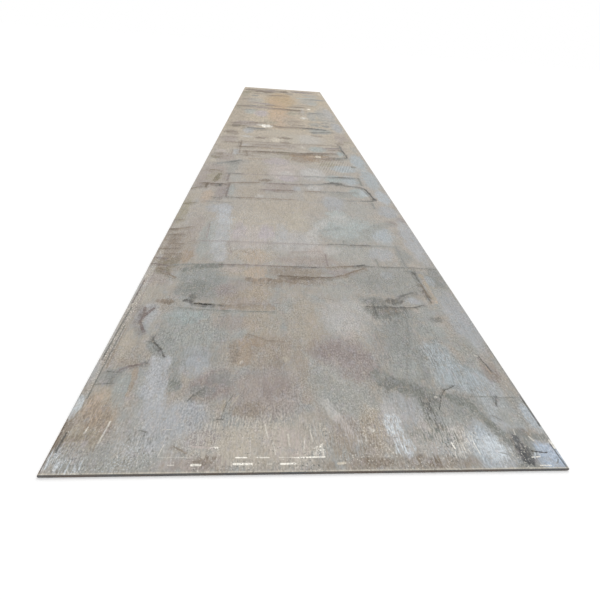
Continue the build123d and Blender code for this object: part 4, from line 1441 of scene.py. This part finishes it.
    def contrast(self, shading: Shading) -> tuple[Socket, Socket]:
        """The mottling, grit and faint streaks that darken and lighten the scale.

        Args:
            shading: The material.

        Returns:
            The factor for the colour, around 1, and the grit alone.
        """
        growth = shading.ramp(shading.along, *self.growth)
        mottle = shading.swing(self.mottle)
        streaks = shading.swing(self.streaks)
        crossed = shading.swing(self.crossed)
        fine = shading.noise(self.grit)
        strewn = shading.swing(self.strewn)
        grit = shading.product(shading.eased(fine, self.grit), strewn)
        drawn = shading.product(shading.sum(crossed, streaks), growth)
        total = shading.sum(shading.sum(mottle, drawn), grit)
        for pitch, between, strength in self.coarser:
            reach = shading.ramp(shading.along, between, (0.0, strength))
            grains = shading.swing(replace(self.grit, pitch=pitch, values=(-1.0, 1.0)))
            total = shading.sum(total, shading.product(grains, reach))
        total = shading.sum(total, self.ribs.wave(shading))
        return shading.sum(total, 1.0), fine

    def flecks(self, shading: Shading, colour: Socket) -> Socket:
        """Strews bright crumbs of scale, thickest along the near end, and dark pits.

        Args:
            shading: The material.
            colour: The colour so far.

        Returns:
            The colour with them.
        """
        where = shading.noise(self.thick)
        front = shading.ramp(shading.along, *self.front)
        thick = shading.product(shading.eased(where, self.thick), front)
        bright = shading.product(shading.swing(self.crumbs), thick)
        colour = shading.over(bright, colour, Tone.SCUFF.rgba)
        dark = shading.product(shading.swing(self.pits), thick)
        return shading.over(dark, colour, Tone.DARK_GREY.rgba)

    def wears(self, shading: Shading) -> dict[Wear, Socket]:
        """The numbers, mostly around 1, that break the marks up.

        Args:
            shading: The material.

        Returns:
            One for each kind of wear.
        """
        clouds, crumbling, running = map(shading.noise, (self.clouds, self.crumbling, self.running))
        reads = {Wear.EVEN: clouds, Wear.RAGGED: clouds, Wear.CRUMBLED: crumbling, Wear.STREAKED: running}
        return {wear: shading.ramp(read, *wear.value) for wear, read in reads.items()}

    def painted_corner_highlights(self, shading: Shading, colour: Socket, wear: Socket) -> Socket:
        """Paints a highlight along the rolled-over top corners of the sheared ends.

        Args:
            shading: The material.
            colour: The colour so far.
            wear: A number around 1 that breaks them up.

        Returns:
            The colour with them.
        """
        for side in (-1, 1):
            corner = replace(self.corner, at=(0.0, side * self.corner.at[1]))
            if corner.near(self.start, self.end):
                colour = shading.stamped(colour, corner, shading.place, wear)
        return colour

    def dress(self) -> bpy.types.Material:
        """Builds the material.

        Returns:
            The material.
        """
        shading = Shading(f"weathered_mill_scale_{self.start:+.1f}")
        spread = shading.ramp(shading.along, *self.stray)
        places = {course: shading.wander(course, spread) for course in Course}
        wears = self.wears(shading)
        colour = self.base(shading)
        for mark in TOP_MARKS:
            for blot in mark.blots():
                if blot.near(self.start - self.spill, self.end + self.spill):
                    colour = shading.stamped(colour, blot, places[mark.course], wears[mark.wear])
        colour = self.haze(shading, colour)
        colour = shading.node("BrightContrast", {0: colour, 1: self.lift, 2: self.punch}).outputs[0]
        # Painted highlight along the top corners of the sheared ends, broken up by the ragged wear
        colour = self.painted_corner_highlights(shading, colour, wears[Wear.RAGGED])
        colour = self.flecks(shading, colour)
        factor, grit = self.contrast(shading)
        rough = shading.swing(self.gloss)
        shading.finish(shading.scaled(colour, factor), rough, grit, self.relief, self.shine, self.metal)
        return shading.material


@dataclass(frozen=True)
class PlainFinish:
    """Scale or sheared steel without marks of its own: two tones, streaks one way and specks.

    Attributes:
        name: The material's name.
        tone: Its main colour.
        second: The colour of its blotches.
        streak: The size of its streaks across, along and up, in metres.
        rough: The middle roughness.
        shine: The specular level.
        metal: The share of bare metal.
        relief: The height of streaks and specks, in metres.
        blotches: Where the second colour shows.
        streaked: How far the streaks darken and lighten it. Each finish has its own streak size.
        specks: How far the specks do.
        rough_swing: How far the roughness goes up and down with the specks.
        streak_share: The streaks' share of the relief.
        speck_share: The specks' share of it.
    """

    name: str
    tone: Tone
    second: Tone
    streak: Triple
    rough: float
    shine: float
    metal: float
    relief: float

    blotches: ClassVar[Grain] = Grain((0.12, 0.25, 0.02), 4.0, 0.6, (0.4, 0.62))
    streaked: ClassVar[Grain] = Grain((1.0, 1.0, 1.0), 2.0, 0.5, (0.3, 0.7), (0.85, 1.15))
    specks: ClassVar[Grain] = Grain((0.003, 0.003, 0.003), 1.5, 0.5, (0.3, 0.7), (-0.1, 0.1))
    rough_swing: ClassVar[float] = 0.08
    streak_share: ClassVar[float] = 0.6
    speck_share: ClassVar[float] = 0.4

    def dress(self) -> bpy.types.Material:
        """Builds the material.

        Returns:
            The material.
        """
        shading = Shading(self.name)
        colour = shading.over(shading.swing(self.blotches), self.tone.rgba, self.second.rgba)
        streaked = replace(self.streaked, pitch=self.streak)
        streaks, specks = shading.noise(streaked), shading.noise(self.specks)
        swing = shading.sum(shading.eased(streaks, streaked), shading.eased(specks, self.specks))
        colour = shading.scaled(colour, swing)
        roughness = (self.rough - self.rough_swing, self.rough + self.rough_swing)
        rough = shading.ramp(specks, self.specks.between, roughness)
        drawn = shading.product(streaks, self.streak_share)
        height = shading.sum(drawn, shading.product(specks, self.speck_share))
        shading.finish(colour, rough, height, self.relief, self.shine, self.metal)
        return shading.material


PLAIN_FINISHES = (
    PlainFinish(
        name="underside_scale",
        tone=Tone.DEEP_SCALE,
        second=Tone.DARK_GREY,
        streak=(0.01, 0.3, 1.0),
        rough=0.6,
        shine=0.3,
        metal=0.0,
        relief=0.0003,
    ),
    PlainFinish(
        name="rolled_edge_scale",
        tone=Tone.DARK_GREY,
        second=Tone.RUST,
        streak=(0.5, 0.04, 0.002),
        rough=0.65,
        shine=0.3,
        metal=0.0,
        relief=0.0004,
    ),
    PlainFinish(
        name="sheared_steel",
        tone=Tone.FRACTURE,
        second=Tone.DEEP_SCALE,
        streak=(0.003, 0.5, 0.02),
        rough=0.5,
        shine=0.4,
        metal=0.2,
        relief=0.0003,
    ),
)


class Face(Enum):
    """The plate's kinds of face, in the order of its material slots.

    The plain finishes above are in this order too. The top comes last, with one slot per stretch.
    """

    UNDERSIDE = 0
    ROLLED_EDGE = 1
    SHEARED_END = 2
    TOP = 3


def spaced(reach: float, count: int) -> list[float]:
    """Evenly spaced places from one side to the other, with so many on each side of the middle."""
    return [reach * i / count for i in range(-count, count + 1)]


def both_sides(places: Iterable[float]) -> list[float]:
    """The places, mirrored ones first."""
    kept = list(places)
    return [side * place for side in (-1, 1) for place in kept]


def meshed(name: str, bm: bmesh.types.BMesh) -> bpy.types.Mesh:
    """Turns a finished shape into a mesh.

    Args:
        name: The mesh's name.
        bm: The shape, which is freed.

    Returns:
        The mesh.
    """
    mesh = bpy.data.meshes.new(name)
    bm.to_mesh(mesh)
    bm.free()
    return mesh


def placed(name: str, data: bpy.types.ID) -> bpy.types.Object:
    """Puts a new object into the scene.

    Args:
        name: Its name.
        data: Its mesh, lamp or camera.

    Returns:
        The object.
    """
    thing = bpy.data.objects.new(name, data)
    bpy.context.scene.collection.objects.link(thing)
    return thing


def turned(degrees: float, axis: str) -> Matrix:
    """A turn about one axis."""
    return Matrix.Rotation(math.radians(degrees), 4, axis)


@dataclass
class RolledPlate:
    """The plate as it left the mill and the shear.

    Attributes:
        width: Over the rolled edges.
        length: Over the sheared ends.
        thickness: Between the faces.
        edge_bow: How far a rolled edge bows out past its corners.
        drop_depth: How far a face falls away beside a rolled edge.
        drop_width: Over what width it does.
        rollover: The radius that the blade rolls over at an end's upper corner.
        wander: How far a rolled edge strays inwards along the plate.
        break_back: How far the lower part of a sheared end breaks back.
        body: The body that the plate rides on.
        slot: The role that its material has.
        replaced: The part's node that it stands for.
        bake_map: The name of its UV map.
        stretches: Where the stretches of the top start and end.
        touch: How close counts as the same place.
        columns: How many columns of faces the flat has on each side of the middle.
        rows: How many rows it has on each side of the middle.
        layers: How many layers of faces the edges and ends have.
        end_margin: How far from an end the even rows stop.
        drop_cuts: Where the drop beside a rolled edge is cut, as shares of its width.
        shear_cuts: Where an end is cut, in radii of its rolled over corner.
        bow_power: How suddenly the bow of a rolled edge sets in.
        waves: What a rolled edge strays by: its line through the noise, turns per metre and share.
        broken: The share of an end's height that breaks back.
        chatter: How much of the break is the blade's chatter.
        chatter_turns: The turns of that chatter per metre, across and up.
        upright: How far a face looks along the plate to count as an end.
        leaning: How far a face at the rolled edge may look up or down.
        edge_reach: How far in from the corners the rolled edge's faces start.
        bake_columns: Where each kind of face starts across the bake map, and how wide it is there.
        second_edge: How far the second rolled edge lies beside the first one there.
        end_height: How much of the map's height an end takes.
        second_end: How far up it the second end lies.
        bake_margin: What is left free at the map's lower and upper side.
        crease: The angle between two faces that look sharp, in degrees.
    """

    width: float
    length: float
    thickness: float
    edge_bow: float = 0.0025
    drop_depth: float = 0.0004
    drop_width: float = 0.022
    rollover: float = 0.0012
    wander: float = 0.002
    break_back: float = 0.0003

    body: ClassVar[str] = "root"
    slot: ClassVar[str] = "hot_rolled_steel"
    replaced: ClassVar[str] = "plate"
    bake_map: ClassVar[str] = "OFBake"
    stretches: ClassVar[tuple[float, ...]] = (-6.0, -5.4, -4.65, -3.3, -1.8, 0.3, 6.0)
    touch: ClassVar[float] = 1e-6
    columns: ClassVar[int] = 10
    rows: ClassVar[int] = 80
    layers: ClassVar[int] = 8
    end_margin: ClassVar[float] = 0.03
    drop_cuts: ClassVar[tuple[float, ...]] = (0.35, 0.7, 0.93)
    shear_cuts: ClassVar[tuple[float, ...]] = (0.08, 0.3, 0.62, 1.0, 2.0, 6.0)
    bow_power: ClassVar[int] = 8
    waves: ClassVar[tuple[Triple, ...]] = ((5.0, 1.3, 1.0), (9.0, 7.0, 0.4))
    broken: ClassVar[float] = 0.6
    chatter: ClassVar[float] = 0.25
    chatter_turns: ClassVar[Span] = (90.0, 60.0)
    upright: ClassVar[float] = 0.7
    leaning: ClassVar[float] = 0.8
    edge_reach: ClassVar[float] = 0.001
    bake_columns: ClassVar[dict[Face, Span]] = {
        Face.TOP: (0.02, 0.64),
        Face.UNDERSIDE: (0.68, 0.20),
        Face.ROLLED_EDGE: (0.90, 0.02),
        Face.SHEARED_END: (0.965, 0.02),
    }
    second_edge: ClassVar[float] = 0.03
    end_height: ClassVar[float] = 0.49
    second_end: ClassVar[float] = 0.51
    bake_margin: ClassVar[float] = 0.01
    crease: ClassVar[float] = 35.0

    @property
    def arris(self) -> float:
        """How far out the corners of a rolled edge are."""
        return self.width / 2 - self.edge_bow

    @property
    def shoulder(self) -> float:
        """How far out the flat of a face reaches."""
        return self.arris - self.drop_width

    def cut(self, bm: bmesh.types.BMesh, axis: Vector, places: Iterable[float]) -> None:
        """Cuts rings of edges round the block.

        Args:
            bm: The block.
            axis: The direction that the cuts are across.
            places: Where they are.
        """
        for place in places:
            everything = bm.verts[:] + bm.edges[:] + bm.faces[:]
            bmesh.ops.bisect_plane(
                bm, geom=everything, dist=self.touch, plane_co=axis * place, plane_no=axis
            )

    def block(self) -> bmesh.types.BMesh:
        """Makes the plain block, cut where its shape will change.

        Returns:
            The block.
        """
        bm = bmesh.new()
        bmesh.ops.create_cube(bm, size=1.0)
        bmesh.ops.scale(bm, vec=(self.width, self.length, self.thickness), verts=bm.verts)
        bmesh.ops.translate(bm, vec=(0.0, 0.0, self.thickness / 2), verts=bm.verts)
        drops = both_sides(self.shoulder + self.drop_width * share for share in self.drop_cuts)
        self.cut(bm, Vector((1, 0, 0)), spaced(self.shoulder, self.columns) + drops)
        end = self.length / 2
        shears = both_sides(end - self.rollover * share for share in self.shear_cuts)
        self.cut(bm, Vector((0, 1, 0)), spaced(end - self.end_margin, self.rows) + shears)
        levels = [self.thickness * i / self.layers for i in range(1, self.layers)]
        self.cut(bm, Vector((0, 0, 1)), levels)
        return bm

    def strayed(self, side: float, y: float) -> float:
        """How far a rolled edge has strayed inwards at one place.

        Args:
            side: 1 for the edge at +X and -1 for the other one.
            y: The place along the plate.

        Returns:
            The share of the most that it strays, from 0 to 1.
        """
        stray = 0.5
        for line, turns, share in self.waves:
            stray += share * noise.noise(Vector((side * line, y * turns, 0)))
        return min(max(stray, 0.0), 1.0)

    def roll_edges(self, bm: bmesh.types.BMesh) -> None:
        """Rounds the two long edges, drops the faces beside them and lets the edges stray.

        Args:
            bm: The block.
        """
        middle = self.thickness / 2
        for vert in bm.verts:
            x, y, z = vert.co
            beyond = abs(x) - self.shoulder
            if beyond <= self.touch:
                continue
            side = math.copysign(1.0, x)
            share = min(beyond / (self.width / 2 - self.shoulder), 1.0)
            height = (z - middle) / middle
            out = self.shoulder + share * self.drop_width
            out += share**self.bow_power * self.edge_bow * (1 - height**2)
            out -= share * self.wander * self.strayed(side, y)
            vert.co.x = side * out
            vert.co.z = middle + (z - middle) * (1 - share**2 * self.drop_depth / middle)

    def shear_ends(self, bm: bmesh.types.BMesh) -> None:
        """Rolls over the upper corner of each end and breaks its lower part back.

        Args:
            bm: The block.
        """
        for vert in bm.verts:
            x, y, z = vert.co
            depth = self.length / 2 - abs(y)
            if depth < self.rollover:
                lost = self.rollover - math.sqrt(self.rollover**2 - (self.rollover - depth) ** 2)
                vert.co.z = z * (1 - lost / self.thickness)
            if depth < self.touch:
                level = z / self.thickness
                across, up = self.chatter_turns
                chatter = self.chatter * (1 + noise.noise(Vector((x * across, 0, z * up))))
                back = self.break_back * (max(self.broken - level, 0.0) + chatter * (level < self.broken))
                vert.co.y = y - math.copysign(back, y)

    def sort_faces(self, bm: bmesh.types.BMesh) -> None:
        """Gives each face its material slot.

        Args:
            bm: The block.
        """
        bm.normal_update()
        for face in bm.faces:
            middle = face.calc_center_median()
            at_edge = abs(middle.x) > self.arris - self.edge_reach
            if abs(face.normal.y) > self.upright:
                face.material_index = Face.SHEARED_END.value
            elif at_edge and abs(face.normal.z) < self.leaning:
                face.material_index = Face.ROLLED_EDGE.value
            elif face.normal.z > 0:
                passed = sum(middle.y > start for start in self.stretches[1:-1])
                face.material_index = Face.TOP.value + passed
            else:
                face.material_index = Face.UNDERSIDE.value
            face.smooth = True

    def unwrap(self, bm: bmesh.types.BMesh) -> None:
        """Lays the faces out side by side for baking, the top widest, with the plate's length upright.

        Args:
            bm: The block.
        """
        layer = bm.loops.layers.uv.new(self.bake_map)
        height = 1 - 2 * self.bake_margin
        for face in bm.faces:
            middle = face.calc_center_median()
            kind = Face(min(face.material_index, Face.TOP.value))
            start, wide = self.bake_columns[kind]
            for loop in face.loops:
                x, y, z = loop.vert.co
                across, along, up = x / self.width + 0.5, y / self.length + 0.5, z / self.thickness
                if kind is Face.ROLLED_EDGE:
                    u, v = start + self.second_edge * (middle.x > 0) + wide * up, along
                elif kind is Face.SHEARED_END:
                    u, v = start + wide * up, self.end_height * across + self.second_end * (middle.y > 0)
                else:
                    u, v = start + wide * across, along
                loop[layer].uv = (u, self.bake_margin + height * v)

    def finishes(self) -> list[TopFinish | PlainFinish]:
        """The finishes, in the order of the faces.

        Returns:
            One finish for each kind of face, the top's stretches last.
        """
        tops = [TopFinish(start, end) for start, end in zip(self.stretches, self.stretches[1:])]
        return [*PLAIN_FINISHES, *tops]

    def build(self) -> bpy.types.Object:
        """Builds and dresses the plate.

        Returns:
            The finished piece.
        """
        bm = self.block()
        self.roll_edges(bm)
        self.shear_ends(bm)
        bmesh.ops.recalc_face_normals(bm, faces=bm.faces)
        self.sort_faces(bm)
        self.unwrap(bm)
        mesh = meshed("rolled_plate", bm)
        mesh.set_sharp_from_angle(angle=math.radians(self.crease))
        for finish in self.finishes():
            mesh.materials.append(finish.dress())
        piece = placed("rolled_plate", mesh)
        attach(piece, self.body)
        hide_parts(self.replaced)
        return piece


@dataclass(frozen=True)
class Studio:
    """A pale floor and plain soft light.

    Attributes:
        floor_reach: Half the floor's side.
        floor_gap: How far it lies below the plate.
        floor_tone: How pale it is, from 0 to 1.
        floor_glow: What the camera sees added to it, so that it is white in the picture.
        sky: How strongly the sky lights the plate. The camera and mirrors see it at 1.
        lamp: The lamp's strength.
        lamp_spread: How soft it is, in degrees.
        lamp_round: How far it is turned about the upright, in degrees.
        lamp_lean: How far it leans from the upright, in degrees.
    """

    floor_reach: float = 40.0
    floor_gap: float = 0.0005
    floor_tone: float = 0.95
    floor_glow: float = 0.12
    sky: float = 0.72
    lamp: float = 1.0
    lamp_spread: float = 50.0
    lamp_round: float = -35.0
    lamp_lean: float = -32.0

    white: ClassVar[tuple[float, float, float, float]] = (1.0, 1.0, 1.0, 1.0)

    def floor(self) -> bpy.types.Object:
        """Lays the floor, white to the eye and keeping the plate's shadow.

        Returns:
            The floor.
        """
        bm = bmesh.new()
        bmesh.ops.create_grid(bm, x_segments=1, y_segments=1, size=self.floor_reach)
        bmesh.ops.translate(bm, vec=(0.0, 0.0, -self.floor_gap), verts=bm.verts)
        mesh = meshed("studio_floor", bm)
        shading = Shading("studio_floor")
        tone = (self.floor_tone, self.floor_tone, self.floor_tone, 1.0)
        diffuse = shading.node("BsdfDiffuse", {"Color": tone})
        glow = shading.node("Emission", {"Color": self.white, "Strength": self.floor_glow})
        both = shading.node("AddShader", {0: diffuse.outputs[0], 1: glow.outputs[0]})
        seen = shading.node("LightPath", {}).outputs["Is Camera Ray"]
        mixed = shading.node("MixShader", {0: seen, 1: diffuse.outputs[0], 2: both.outputs[0]})
        shading.node("OutputMaterial", {"Surface": mixed.outputs[0]})
        mesh.materials.append(shading.material)
        floor = placed("studio_floor", mesh)
        return floor

    def light(self) -> None:
        """Sets the sky and the one soft lamp."""
        world = bpy.data.worlds.new("studio_sky")
        world.use_nodes = True
        graph = Graph(world.node_tree)
        path = graph.node("LightPath", {}).outputs
        seen = graph.math("MAXIMUM", path["Is Camera Ray"], path["Is Glossy Ray"])
        strength = graph.node("MapRange", {0: seen, 3: self.sky, 4: 1.0}).outputs[0]
        sky = graph.node("Background", {"Strength": strength, "Color": self.white})
        graph.node("OutputWorld", {"Surface": sky.outputs[0]})
        bpy.context.scene.world = world
        sun = bpy.data.lights.new("soft_sun", "SUN")
        sun.energy = self.lamp
        sun.angle = math.radians(self.lamp_spread)
        placed("soft_sun", sun).matrix_world = turned(self.lamp_round, "Z") @ turned(self.lamp_lean, "X")


@dataclass(frozen=True)
class Viewpoint:
    """The camera, held at chest height just off the plate's near end.

    Attributes:
        position: Where it is.
        down: How far it looks down, in degrees.
        right: How far it looks to the right of the plate's length, in degrees.
        roll: How far it leans to the left, in degrees.
        focal: Its focal length in pixels of the frame.
        centre: Where its axis meets the frame, in pixels.
        side: The frame's width and height, in pixels.
        sensor: The width of its sensor, in millimetres.
    """

    position: Triple = (-0.191, -7.039, 1.397)
    down: float = 32.51
    right: float = 6.48
    roll: float = 4.77
    focal: float = 437.0
    centre: Place = (312.5, 309.9)
    side: float = 600.0
    sensor: float = 36.0

    def place(self) -> bpy.types.Object:
        """Sets the camera up.

        Returns:
            The camera.
        """
        data = bpy.data.cameras.new("viewpoint")
        data.sensor_width = self.sensor
        data.lens = self.sensor * self.focal / self.side
        data.shift_x = (self.side / 2 - self.centre[0]) / self.side
        data.shift_y = (self.centre[1] - self.side / 2) / self.side
        camera = placed("viewpoint", data)
        aim = turned(-self.right, "Z") @ turned(90 - self.down, "X") @ turned(self.roll, "Z")
        camera.matrix_world = Matrix.Translation(self.position) @ aim
        bpy.context.scene.camera = camera
        return camera


def main() -> None:
    """Builds the plate, at the part's size, and its studio."""
    logging.basicConfig(level=logging.INFO, format="%(name)s: %(message)s")
    bpy.context.scene.view_settings.view_transform = "Standard"
    low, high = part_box(RolledPlate.replaced)
    size = high - low
    plate = RolledPlate(size.x, size.y, size.z).build()
    log.info("%s has %d faces", plate.name, len(plate.data.polygons))
    studio = Studio()
    studio.floor()
    studio.light()
    Viewpoint().place()
    log.info("floor, light and camera are set")


if __name__ == "__main__":
    main()
